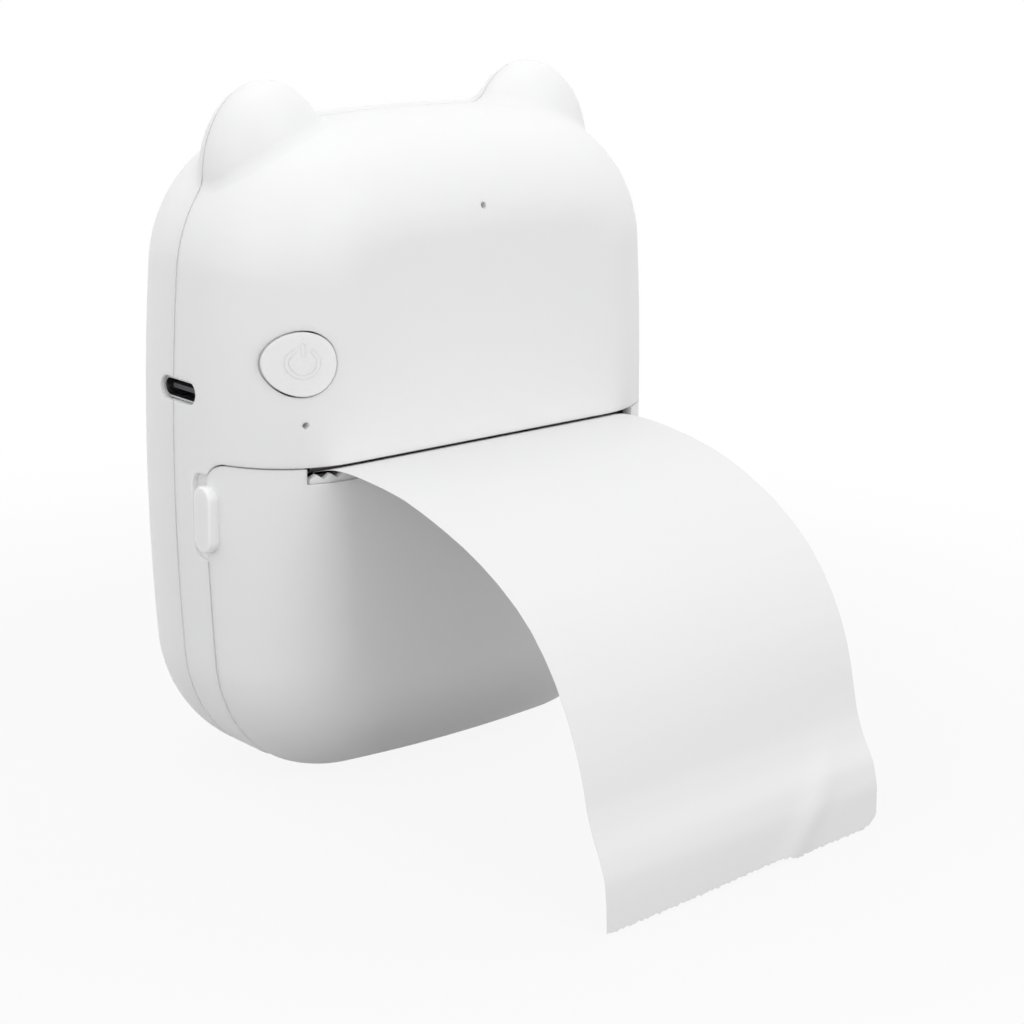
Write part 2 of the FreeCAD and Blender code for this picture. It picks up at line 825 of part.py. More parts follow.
def make_reduction_gear():
    """Small and large gear in one piece."""
    bore = gear_pin_radius + fit
    small = gear(small_teeth, small_phase, layer_a, layer_b, reduction_place, bore)
    large = gear(large_teeth, large_phase, layer_b, layer_b + gear_layer, reduction_place, bore)
    wheel = small.fuse(large).removeSplitter()
    rim = gear_module * (large_teeth / 2 - 3)
    hub = gear_module * small_teeth / 2
    face = layer_b + gear_layer
    groove = rod_x(rim, face - gear_layer / 3, face, *reduction_place)
    return wheel.cut(groove.cut(rod_x(hub, face - gear_layer, face, *reduction_place)))


def make_gear_pins():
    """Headed pins of the idler and the reduction gear, set in the right side plate."""
    pins = []
    for place, end in ((idler_place, layer_a + gear_layer), (reduction_place, layer_b + gear_layer)):
        stem = rod_x(gear_pin_radius, plate_inner, end + play, *place)
        head = rod_x(gear_pin_radius * 1.7, end + play / 2, end + play / 2 + 0.5, *place)
        pins.append(stem.fuse(head).removeSplitter())
    return Part.makeCompound(pins)


def make_motor_pinion():
    """Small gear on the motor's shaft."""
    return gear(pinion_teeth, pinion_phase, layer_b, layer_b + gear_layer, motor_place, gear_pin_radius)


def make_motor_shaft():
    """Motor shaft, which starts inside the can."""
    start = plate_inner - flange_thickness + fit
    return rod_x(gear_pin_radius, start, layer_b + gear_layer + play, *motor_place)


def make_motor_body():
    """Motor can with its connector block."""
    end = plate_inner - flange_thickness
    can = rod_x(motor_radius, end - motor_length, end, *motor_place)
    seat = (motor_radius * 0.55, motor_radius * 1.25)
    block_shape = box(end - motor_length * 0.75, end - motor_length * 0.25,
                      motor_place[0] - seat[0], motor_place[0] + seat[0],
                      motor_place[1], motor_place[1] + seat[1])
    return can.fuse(block_shape).removeSplitter().makeChamfer(0.3, edges_across_x(can, end - motor_length))


def edges_across_x(shape, x):
    """Round edges that lie in a plane across X."""
    return [e for e in shape.Edges if all(abs(v.X - x) < 1e-6 for v in e.Vertexes)]


def flange_holes():
    """Places of the two motor screws."""
    angle = math.radians(flange_turn)
    return [beside(motor_place, angle, flange_hole), beside(motor_place, angle + math.pi, flange_hole)]


def make_motor_flange():
    """Mounting plate of the motor with an ear at each end."""
    x0 = plate_inner - flange_thickness
    disc = rod_x(motor_radius, x0, plate_inner, *motor_place)
    ear_shapes = [rod_x(screw_head, x0, plate_inner, *p) for p in flange_holes()]
    side = math.radians(flange_turn + 90.0)
    corners = [beside(p, side, way * screw_head) for p, way in zip(flange_holes() * 2, (1, 1, -1, -1))]
    strap = prism_x([corners[0], corners[1], corners[3], corners[2]], x0, plate_inner)
    flange = fused([disc, strap] + ear_shapes)
    cuts = [rod_x(screw_radius + fit, x0, plate_inner, *p) for p in flange_holes()]
    cuts.append(rod_x(gear_pin_radius + fit, x0, plate_inner, *motor_place))
    return flange.cut(cuts)


def screw(place, head_side, point_side, along_x=False):
    """Screw with a pan head: its head lies beyond head_side and its point at point_side."""
    way = 1.0 if head_side > point_side else -1.0
    rod = rod_x if along_x else rod_y
    stem_ends = sorted((head_side, point_side))
    head_ends = sorted((head_side, head_side + way * screw_head_height))
    stem = rod(screw_radius, *stem_ends, *place)
    head = rod(screw_head, *head_ends, *place)
    return stem.fuse(head).removeSplitter()


def paired_screws(places, head_side, point_side):
    """Screws at mirrored places."""
    return Part.makeCompound([s for p in places for s in mirrored(screw(p, head_side, point_side))])


def make_case_screws():
    """Four screws that hold the shells together."""
    return paired_screws((upper_boss, lower_boss), case_screw_seat, case_screw_seat - case_screw_length)


def make_board_screws():
    """Four screws of the main board."""
    return paired_screws(board_posts, board_rear, board_front - short_screw)


def make_chassis_screws():
    """Two screws that hold the chassis to the front shell."""
    head_side = chassis_tab_y + bar_thickness
    return paired_screws((chassis_post,), head_side, chassis_tab_y - short_screw)


def make_motor_screws():
    """Two screws that hold the motor to the right side plate."""
    head_side = plate_inner - flange_thickness
    return Part.makeCompound([screw(p, head_side, plate_outer, True) for p in flange_holes()])


def make_chassis():
    """Roll bay, side plates and bars that carry the print head, motor and gears."""
    roll = (roll_y, roll_z)
    inner = roll_radius + cradle_gap
    ring = rod_x(inner + cradle_wall, -plate_outer, plate_outer, *roll).cut(rod_x(inner, -far, far, *roll))
    front = beside(roll, math.radians(cradle_front_angle), 3 * inner)
    rear = beside(roll, math.radians(cradle_rear_angle), 3 * inner)
    cradle = ring.common(prism_x([roll, front, (front[0], -far), (far, -far), (far, rear[1]), rear],
                                 -plate_outer, plate_outer))
    bar_end = print_place(-head_front, bar_low + bar_thickness)
    notch_y = platen_y + fit
    upper = board_low - chassis_top_room
    high = max(z for y, z in flange_holes()) + screw_head + wall
    back = half_depth - wall - play
    plate_front = cover_y + play
    low = roll_z - inner - cradle_wall
    outline = [(plate_front, low + 4 * cradle_wall, chassis_corner), (roll_y, low),
               (back, low, 4 * chassis_corner), (back, high, 2 * chassis_corner),
               (bar_end[0], upper, chassis_corner),
               (notch_y, bar_end[1] - 4 * bar_thickness, chassis_corner / 2),
               (notch_y, platen_z - 2 * shaft_radius, chassis_corner / 2),
               (plate_front, roll_z + inner, chassis_corner)]
    plates = mirrored(prism_x(outline, plate_inner, plate_outer))
    spring_bar = tilted(box(-plate_outer, plate_outer, platen_y - head_front, platen_y + ceramic_rear,
                            platen_z + bar_low, platen_z + bar_low + bar_thickness))
    rear_bar = box(-plate_outer, plate_outer, back - bar_thickness / 1.5, back, roll_z + inner, upper)
    px, pz = chassis_post
    tab_low = print_place(0.0, bar_low)[1]
    tab_half = board_post_radius + chassis_tab_margin
    tab_high = pz + tab_half
    tab = [(px - tab_half, tab_low), (px + tab_half, tab_low),
           (px + tab_half, tab_high, chassis_corner), (px - tab_half, tab_high, chassis_corner)]
    tabs = mirrored(prism_y(tab, chassis_tab_y, chassis_tab_y + bar_thickness))
    ex, ez = lower_boss
    chassis_ears = mirrored(box(plate_inner, ex + boss_radius, 0.0, bar_thickness,
                                ez - boss_radius, ez + boss_radius))
    sensor_arm = sensor_frame(box(-plate_outer, sensor_x + sensor_half + wall, -sensor_half, sensor_half,
                                  sensor_top, sensor_top + cradle_wall))
    chassis = fused([cradle, spring_bar, rear_bar, sensor_arm] + plates + tabs + chassis_ears)
    cuts = [rod_x(shaft_radius + fit, -far, far, *platen_place)]
    pivot = print_place(pivot_back, pivot_height())
    cuts.append(rod_x(pivot_radius + slip, -far, far, *pivot))
    cuts += holes(lower_boss, screw_hole, -far, far)
    cuts += holes(chassis_post, screw_hole, chassis_tab_y, chassis_tab_y + bar_thickness)
    right = plate_inner
    cuts.append(rod_x(2 * gear_pin_radius, right, plate_outer, *motor_place))
    motor_end = plate_inner - flange_thickness - motor_length - play
    cuts.append(rod_x(motor_radius + play, motor_end, plate_inner, *motor_place))
    for place in (idler_place, reduction_place):
        cuts.append(rod_x(gear_pin_radius + slip, right, plate_outer, *place))
    for place in flange_holes():
        cuts.append(rod_x(screw_radius + slip, right, plate_outer, *place))
    return chassis.cut(cuts).common(soft_body(wall + play))


def pivot_height():
    """Height of the print head's pivot above the platen's axis, before the tilt."""
    return sink_low + sink_thickness / 2


def make_head_ceramic():
    """Ceramic plate with the heating line, which faces the platen."""
    return tilted(box(-head_half, head_half, platen_y - head_front, platen_y + ceramic_rear,
                      platen_z + nip_radius, platen_z + sink_low))


def make_head_sink():
    """Aluminium plate that carries the ceramic, with a pivot bore along its rear edge."""
    low = platen_z + sink_low
    high = platen_z + sink_high
    rear = platen_y + sink_rear
    plate = prism_x([(platen_y - head_front, low), (rear, low, 0.8), (rear, high, 0.8),
                     (platen_y - head_front, high, 0.6)], -head_half, head_half)
    plate = plate.cut(rod_x(pivot_radius + fit, -far, far, platen_y + pivot_back, platen_z + pivot_height()))
    groove_half = spring_x - groove_margin
    for i in range(groove_count):
        groove_y = platen_y + groove_start + i * groove_pitch
        groove_end = groove_y + groove_width
        plate = plate.cut(box(-groove_half, groove_half, groove_y, groove_end, high - groove_depth, high))
    return tilted(plate)


def make_head_pivot():
    """Steel pin through the side plates and the heat sink."""
    y, z = print_place(pivot_back, pivot_height())
    return rod_x(pivot_radius, -plate_outer, plate_outer, y, z)


def flat(points):
    """Flat face between corner points."""
    return Part.Face(Part.makePolygon(points + points[:1]))


def coil(height):
    """Spring wound from wire with a many-sided section, made of flat facets."""
    count = spring_turns * spring_steps
    sections = []
    for i in range(count + 1):
        turn = 2 * math.pi * i / spring_steps
        out = V(math.cos(turn), math.sin(turn), 0)
        middle = out * spring_radius + V(0, 0, height * i / count)
        section = []
        for k in range(spring_sides):
            angle = 2 * math.pi * k / spring_sides
            section.append(middle + (out * math.cos(angle) + V(0, 0, math.sin(angle))) * (spring_wire / 2))
        sections.append(section)
    faces = [flat(sections[0][::-1]), flat(sections[-1])]
    for near, next_one in zip(sections, sections[1:]):
        for k in range(spring_sides):
            after = (k + 1) % spring_sides
            faces.append(flat([near[k], next_one[k], next_one[after]]))
            faces.append(flat([near[k], next_one[after], near[after]]))
    solid = Part.Solid(Part.Shell(faces))
    if solid.Volume < 0:
        solid.reverse()
    return solid


def make_head_springs():
    """Two pressure springs between the heat sink and the chassis bar."""
    spring = coil(spring_length - spring_wire - 2 * fit)
    spring.translate(V(spring_x, platen_y, platen_z + sink_high + spring_wire / 2 + fit))
    return Part.makeCompound(mirrored(tilted(spring)))


def sensor_frame(shape):
    """Shape drawn flat above the web, turned and moved to its place over the web."""
    ny, nz = web_tangent()
    turned = shape.copy()
    turned.rotate(V(0, 0, 0), X_AXIS, -math.degrees(math.atan2(ny, nz)))
    middle = platen_radius + nip_gap / 2
    y = platen_y + middle * ny + sensor_back * nz
    z = platen_z + middle * nz - sensor_back * ny
    turned.translate(V(0, y, z))
    return turned


def make_paper_sensor():
    """Reflective sensor that looks down at the web."""
    return sensor_frame(box(sensor_x - sensor_half, sensor_x + sensor_half, -sensor_half, sensor_half,
                            sensor_top - sensor_height, sensor_top))


def make_head_ribbon():
    """Flat ribbon from the ceramic round the heat sink and up to the board."""
    low = nip_radius + ceramic_thickness / 2 - fit
    connector = board_rear + ribbon_plug[2] / 2
    turn = print_place(sink_rear + ribbon_turn, low)
    points = [print_place(ceramic_rear + fit, low), turn, (turn[0] + ribbon_lean, turn[1] + ribbon_rise),
              (connector, board_low - ribbon_bow), (connector, board_low + ribbon_plug[3] - play / 3)]
    return sheet(points, 0.4, ribbon_thickness, -ribbon_half, ribbon_half)


def make_platen_shaft():
    """Steel shaft of the platen with a flat-ended gear seat at the right."""
    return rod_x(shaft_radius, -plate_outer - play, layer_a + gear_layer + play, *platen_place)


def make_platen_rubber():
    """Rubber sleeve of the platen."""
    sleeve = rod_x(platen_radius, -platen_half, platen_half, *platen_place)
    return sleeve.cut(rod_x(shaft_radius, -platen_half, platen_half, *platen_place))


def make_platen_bushings():
    """Bushings in the cover's arms."""
    ring = rod_x(bushing_radius, arm_x, arm_x + arm_width, *platen_place)
    ring = ring.cut(rod_x(shaft_radius + fit, arm_x, arm_x + arm_width, *platen_place))
    return Part.makeCompound(mirrored(ring))


def make_hinge_pin():
    """Steel pin of the cover hinge."""
    return rod_x(hinge_pin_radius, -hinge_pin_half, hinge_pin_half, hinge_y, hinge_z)


def switch_front():
    """Front face of the switch body."""
    return board_front - switch_height


def button_rear():
    """Rear face of the button, just in front of the plunger."""
    return switch_front() - plunger_length - fit


def button_flange_front():
    """Front face of the button's flange."""
    return button_rear() - button_rim


def make_power_button():
    """Round cap that follows the curve of the case, with a flange behind the wall."""
    proud = block.copy()
    proud.translate(V(0, -button_proud, 0))
    cap = rod_y(button_radius, -far, button_rear(), button_x, button_z).common(proud)
    flange = rod_y(button_flange, button_flange_front(), button_rear(), button_x, button_z)
    return cap.fuse(flange.common(soft_body(wall + play))).removeSplitter()


def make_switch_body():
    """Tact switch on the board, behind the button."""
    half = switch_size / 2
    low = button_z - half
    high = button_z + half
    body = box(button_x - half, button_x + half, switch_front(), board_front, low, high)
    depth = switch_front() + button_travel + play
    return body.cut(rod_y(plunger_radius + fit, switch_front(), depth, button_x, button_z))


def make_switch_plunger():
    """Plunger of the tact switch."""
    return rod_y(plunger_radius, switch_front() - plunger_length, switch_front() - fit, button_x, button_z)


def make_main_board():
    """Main board with a wing at the left for the switch and the socket."""
    outline = [(-board_half, board_high), (board_half, board_high), (board_half, board_low),
               (wing_right, board_low), (wing_right, wing_low), (wing_left, wing_low),
               (wing_left, wing_high), (-board_half, wing_high)]
    board = prism_y([(x, z, board_corner) for x, z in outline], board_front, board_rear)
    cuts = []
    for place in board_posts:
        cuts += holes(place, screw_hole, -far, far)
    return board.cut(cuts)


def make_controller_chip():
    """Square chip on the front of the board."""
    low = board_low + chip_rise
    return box(-chip_half, chip_half, board_front - chip_height, board_front, low, low + 2 * chip_half)


def make_board_connectors():
    """Ribbon, motor and battery connectors on the rear face of the board."""
    plugs = []
    for plug, base in ((ribbon_plug, board_low), (motor_plug, board_low), (battery_plug, between_posts)):
        left, right, depth, low, high = plug
        plugs.append(box(left, right, board_rear, board_rear + depth, base + low, base + high))
    return Part.makeCompound(plugs)


def make_lamps():
    """Small lamps on the board behind the pinholes."""
    half = lamp_size / 2
    front = board_front - lamp_height
    lamps = [box(x - half, x + half, front, board_front, z - half, z + half) for x, z in pinholes]
    return Part.makeCompound(lamps)


def guide_front(x, z):
    """Front end of a light guide, just behind the wall."""
    line = Part.LineSegment(V(x, -far, z), V(x, 0, z)).toShape()
    return min(v.Y for v in line.common(hollow).Vertexes)


def make_light_guides():
    """Clear rods that carry the lamps' light to the pinholes."""
    rear = board_front - lamp_height - fit
    return Part.makeCompound([rod_y(guide_radius, guide_front(x, z) + fit, rear, x, z) for x, z in pinholes])


def make_usb_socket():
    """Steel shell of the socket, open at the case's side and closed at its inner end."""
    x0 = usb_setback - half_width
    outer = usb_mouth(0.0, x0, x0 + usb_depth)
    return outer.cut(usb_mouth(-usb_wall, x0, x0 + usb_depth - usb_wall))


def make_usb_tongue():
    """Contact tongue in the middle of the socket."""
    x0 = usb_setback - half_width
    middle = board_rear + usb_width / 2
    half = tongue_thickness / 2
    inner_end = x0 + usb_depth - usb_wall
    y0 = middle - tongue_half
    y1 = middle + tongue_half
    return box(x0 + tongue_setback, inner_end, y0, y1, usb_z - half, usb_z + half)


def make_battery():
    """Flat pouch cell on the rear wall."""
    rear = half_depth - wall - pad_thickness
    cell = box(-battery_half, battery_half, rear - battery_thickness, rear, battery_low, battery_high)
    return cell.makeFillet(battery_edge, cell.Edges)


def make_battery_leads():
    """Two wires from the side of the cell to its connector on the board."""
    leads = []
    cell_y = half_depth - wall - pad_thickness - battery_thickness / 2
    left, right, depth, low, high = battery_plug
    end_x = (left + right) / 2
    for i in range(2):
        drop = i * lead_pitch
        start_z = battery_high - battery_lead_drop - drop
        end_z = between_posts + high - lead_inset - drop
        points = [(battery_half, cell_y, start_z), (battery_half + lead_bow, cell_y, start_z)]
        points += [(end_x, cell_y - battery_lead_turn, end_z), (end_x, board_rear + depth, end_z)]
        leads.append(lead(points))
    return Part.makeCompound(leads)


def make_motor_leads():
    """Four wires from the motor's block up to its connector on the board."""
    leads = []
    block_top = motor_place[1] + motor_radius * 1.25
    block_y = motor_place[0] - motor_lead_back
    left, right, depth, low, high = motor_plug
    end_z = board_low + (low + high) / 2
    for i in range(4):
        x = right + i * lead_pitch * motor_lead_spread
        end_x = left + motor_lead_inset + i * lead_pitch
        points = [(x, block_y, block_top), (x, block_y, block_top + motor_lead_rise)]
        points += [(end_x, board_rear + depth + motor_lead_turn, end_z), (end_x, board_rear + depth, end_z)]
        leads.append(lead(points))
    return Part.makeCompound(leads)


def make_battery_pad():
    """Adhesive pad between the cell and the rear wall."""
    rear = half_depth - wall
    half = battery_half - pad_margin
    high = min(battery_high, body_height - rear_round) - pad_margin
    return box(-half, half, rear - pad_thickness, rear, battery_low + pad_margin, high)


MAKERS = {
    "front_shell": make_front_shell,
    "rear_shell": make_rear_shell,
    "paper_cover": make_cover,
    "tear_bar": make_tear_bar,
    "hinge_pin": make_hinge_pin,
    "power_button": make_power_button,
    "switch_body": make_switch_body,
    "switch_plunger": make_switch_plunger,
    "main_board": make_main_board,
    "controller_chip": make_controller_chip,
    "board_connectors": make_board_connectors,
    "indicator_lamps": make_lamps,
    "light_guides": make_light_guides,
    "usb_socket": make_usb_socket,
    "usb_tongue": make_usb_tongue,
    "battery_cell": make_battery,
    "battery_pad": make_battery_pad,
    "battery_leads": make_battery_leads,
    "motor_leads": make_motor_leads,
    "chassis": make_chassis,
    "head_ceramic": make_head_ceramic,
    "head_heat_sink": make_head_sink,
    "head_pivot_pin": make_head_pivot,
    "head_springs": make_head_springs,
    "head_ribbon": make_head_ribbon,
    "paper_sensor": make_paper_sensor,
    "platen_shaft": make_platen_shaft,
    "platen_rubber": make_platen_rubber,
    "platen_bushings": make_platen_bushings,
    "platen_gear": make_platen_gear,
    "idler_gear": make_idler_gear,
    "reduction_gear": make_reduction_gear,
    "gear_pins": make_gear_pins,
    "motor_body": make_motor_body,
    "motor_flange": make_motor_flange,
    "motor_shaft": make_motor_shaft,
    "motor_pinion": make_motor_pinion,
    "motor_screws": make_motor_screws,
    "paper_roll": make_roll,
    "roll_core": make_core,
    "paper_web": make_web,
    "paper_strip": make_strip,
    "case_screws": make_case_screws,
    "board_screws": make_board_screws,
    "chassis_screws": make_chassis_screws,
}

os.makedirs("parts", exist_ok=True)
for name, maker in MAKERS.items():
    shape = maker()
    shape.exportStep("parts/" + name + ".step")
    print(name, shape.isValid(), len(shape.Solids), round(shape.Volume, 2))
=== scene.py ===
"""Pocket thermal printer with two ears: finishes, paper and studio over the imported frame."""

import json
import logging
import math
from dataclasses import InitVar, dataclass, field
from enum import Enum

import bmesh
import bpy
from mathutils import Matrix, Vector
from mathutils.bvhtree import BVHTree


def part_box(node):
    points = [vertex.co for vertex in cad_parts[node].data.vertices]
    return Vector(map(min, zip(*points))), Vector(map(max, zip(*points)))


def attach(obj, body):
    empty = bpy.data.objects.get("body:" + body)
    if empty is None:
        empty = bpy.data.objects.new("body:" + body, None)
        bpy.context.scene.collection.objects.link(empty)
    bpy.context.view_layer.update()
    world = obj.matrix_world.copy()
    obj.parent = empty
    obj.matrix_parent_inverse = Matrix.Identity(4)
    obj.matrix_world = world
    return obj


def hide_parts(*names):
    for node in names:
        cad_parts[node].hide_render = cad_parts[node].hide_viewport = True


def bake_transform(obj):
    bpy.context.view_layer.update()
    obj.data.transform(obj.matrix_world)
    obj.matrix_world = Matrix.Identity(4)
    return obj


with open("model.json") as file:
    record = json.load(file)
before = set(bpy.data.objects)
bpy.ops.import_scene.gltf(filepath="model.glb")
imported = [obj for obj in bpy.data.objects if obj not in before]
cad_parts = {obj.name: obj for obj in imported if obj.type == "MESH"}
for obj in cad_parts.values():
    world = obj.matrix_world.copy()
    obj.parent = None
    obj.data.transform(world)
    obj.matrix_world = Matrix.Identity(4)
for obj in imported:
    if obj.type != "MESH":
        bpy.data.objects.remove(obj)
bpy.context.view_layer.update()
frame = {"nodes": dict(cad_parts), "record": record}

LOG = logging.getLogger("printer")
# Metres in a millimetre.
MM = 0.001
# Corners closer than this, in metres, become one corner.
WELD = 2e-6
# Keeps a division away from zero.
TINY = 1e-12
Colour = tuple[float, float, float]
Place = tuple[float, float, float]
Point = tuple[float, float]
Piece = bpy.types.Object
Socket = bpy.types.NodeSocket
Line = list[Vector]
BODY_OF = {node: body for body, nodes in frame["record"]["behaviour"]["bodies"].items() for node in nodes}


class Look(Enum):
    """The kinds of surface that the printer is made of."""

    MOULDED = "moulded"
    BRUSHED = "brushed"
    PAPER = "paper"
    WOUND = "wound"
    BOARD = "board"
    FOAM = "foam"
    FILM = "film"
    CLEAR = "clear"


@dataclass(frozen=True)
class Finish:
    """One finish: its record slot, its colours and the grain of its surface.

    Attributes:
        slot: Material slot of the record, also the material's name.
        look: Kind of surface.
        colour: Main colour.
        shade: Second colour that drifts through the first.
        rough: Middle roughness.
        grain: Grains per metre.
        depth: Depth of the grain in metres.
        metal: Metallic share.
        drift: Share of the second colour.
        clear: Share of light that passes through.
        soft: Distance in metres that light spreads under the surface.
    """

    slot: str
    look: Look
    colour: Colour
    shade: Colour
    rough: float
    grain: float
    depth: float
    metal: float = 0.0
    drift: float = 0.5
    clear: float = 0.0
    soft: float = 0.0


CASE_WHITE = Finish(
    "case_plastic", Look.MOULDED, (0.87, 0.87, 0.872), (0.84, 0.84, 0.845),
    rough=0.42, grain=5200.0, depth=3.0e-6, soft=1.0e-3,
)
BUTTON_WHITE = Finish(
    "button_plastic", Look.MOULDED, (0.9, 0.9, 0.902), (0.87, 0.87, 0.875),
    rough=0.36, grain=6400.0, depth=2.0e-6, soft=4.0e-4,
)
SIGN_GREY = Finish(
    "button_plastic", Look.MOULDED, (0.85, 0.85, 0.86), (0.81, 0.81, 0.82),
    rough=0.3, grain=6400.0, depth=1.5e-6,
)
PLAIN_STEEL = Finish(
    "steel", Look.BRUSHED, (0.62, 0.62, 0.61), (0.5, 0.5, 0.5),
    rough=0.32, grain=900.0, depth=2.0e-6, metal=1.0,
)
SOCKET_STEEL = Finish(
    "socket_steel", Look.BRUSHED, (0.55, 0.55, 0.56), (0.42, 0.42, 0.43),
    rough=0.28, grain=900.0, depth=1.5e-6, metal=1.0,
)
MOTOR_STEEL = Finish(
    "motor_steel", Look.BRUSHED, (0.5, 0.5, 0.52), (0.4, 0.4, 0.42),
    rough=0.36, grain=700.0, depth=3.0e-6, metal=1.0,
)
TURNED_BRASS = Finish(
    "brass", Look.BRUSHED, (0.78, 0.6, 0.28), (0.62, 0.44, 0.18),
    rough=0.3, grain=800.0, depth=2.0e-6, metal=1.0,
)
SINK_ALUMINIUM = Finish(
    "aluminium", Look.BRUSHED, (0.75, 0.76, 0.77), (0.62, 0.63, 0.65),
    rough=0.34, grain=600.0, depth=3.0e-6, metal=1.0,
)
CELL_FOIL = Finish(
    "cell_foil", Look.BRUSHED, (0.66, 0.68, 0.72), (0.5, 0.52, 0.56),
    rough=0.42, grain=260.0, depth=2.0e-5, metal=0.8,
)
DARK_PLASTIC = Finish(
    "black_plastic", Look.MOULDED, (0.04, 0.04, 0.045), (0.065, 0.065, 0.07),
    rough=0.45, grain=4200.0, depth=3.0e-6,
)
CHASSIS_GREY = Finish(
    "chassis_plastic", Look.MOULDED, (0.13, 0.13, 0.14), (0.18, 0.18, 0.19),
    rough=0.5, grain=3600.0, depth=5.0e-6,
)
CREAM_NYLON = Finish(
    "cream_plastic", Look.MOULDED, (0.78, 0.74, 0.64), (0.7, 0.65, 0.54),
    rough=0.48, grain=4200.0, depth=3.0e-6,
)
GEAR_ACETAL = Finish(
    "gear_plastic", Look.MOULDED, (0.8, 0.79, 0.74), (0.72, 0.7, 0.64),
    rough=0.38, grain=3800.0, depth=2.0e-6,
)
CORE_GREY = Finish(
    "core_plastic", Look.MOULDED, (0.7, 0.7, 0.7), (0.6, 0.6, 0.6),
    rough=0.5, grain=2600.0, depth=6.0e-6,
)
LAMP_CREAM = Finish(
    "lamp", Look.MOULDED, (0.85, 0.8, 0.55), (0.92, 0.88, 0.7),
    rough=0.25, grain=5200.0, depth=1.0e-6,
)
WIRE_RED = Finish(
    "lead_red", Look.MOULDED, (0.5, 0.035, 0.03), (0.4, 0.02, 0.02),
    rough=0.42, grain=2400.0, depth=4.0e-6,
)
ROLLER_RUBBER = Finish(
    "rubber", Look.MOULDED, (0.045, 0.045, 0.047), (0.075, 0.075, 0.08),
    rough=0.72, grain=3000.0, depth=1.2e-5,
)
HEAD_CERAMIC = Finish(
    "ceramic", Look.MOULDED, (0.82, 0.8, 0.75), (0.7, 0.68, 0.62),
    rough=0.22, grain=3400.0, depth=1.5e-6,
)
FOAM_BLACK = Finish(
    "foam", Look.FOAM, (0.035, 0.035, 0.037), (0.1, 0.1, 0.105),
    rough=0.9, grain=1500.0, depth=1.2e-4,
)
RIBBON_AMBER = Finish(
    "ribbon_film", Look.FILM, (0.62, 0.32, 0.06), (0.4, 0.19, 0.03),
    rough=0.3, grain=1250.0, depth=1.2e-5,
)
BOARD_GREEN = Finish(
    "board", Look.BOARD, (0.012, 0.11, 0.045), (0.03, 0.2, 0.09),
    rough=0.3, grain=420.0, depth=1.4e-5,
)
# Light guides in near black: painted shade, so that the pinholes in front of them look dark; the guides
# themselves are clear plastic.
GUIDE_PAINTED_SHADE = Finish(
    "clear_plastic", Look.CLEAR, (0.03, 0.031, 0.033), (0.02, 0.02, 0.022),
    rough=0.12, grain=2400.0, depth=1.5e-6, clear=0.5,
)
ROLL_PAPER = Finish(
    "paper", Look.WOUND, (0.88, 0.88, 0.875), (0.74, 0.73, 0.71),
    rough=0.62, grain=2600.0, depth=8.0e-6,
)
STRIP_PAPER = Finish(
    "paper", Look.PAPER, (0.81, 0.81, 0.812), (0.78, 0.78, 0.784),
    rough=0.55, grain=2600.0, depth=4.0e-6,
)


def set_inputs(node: bpy.types.Node, values: dict[str, object]) -> None:
    """Set inputs of a node by name.

    Args:
        node: Node to set.
        values: Value of each input.
    """
    for name, value in values.items():
        node.inputs[name].default_value = value


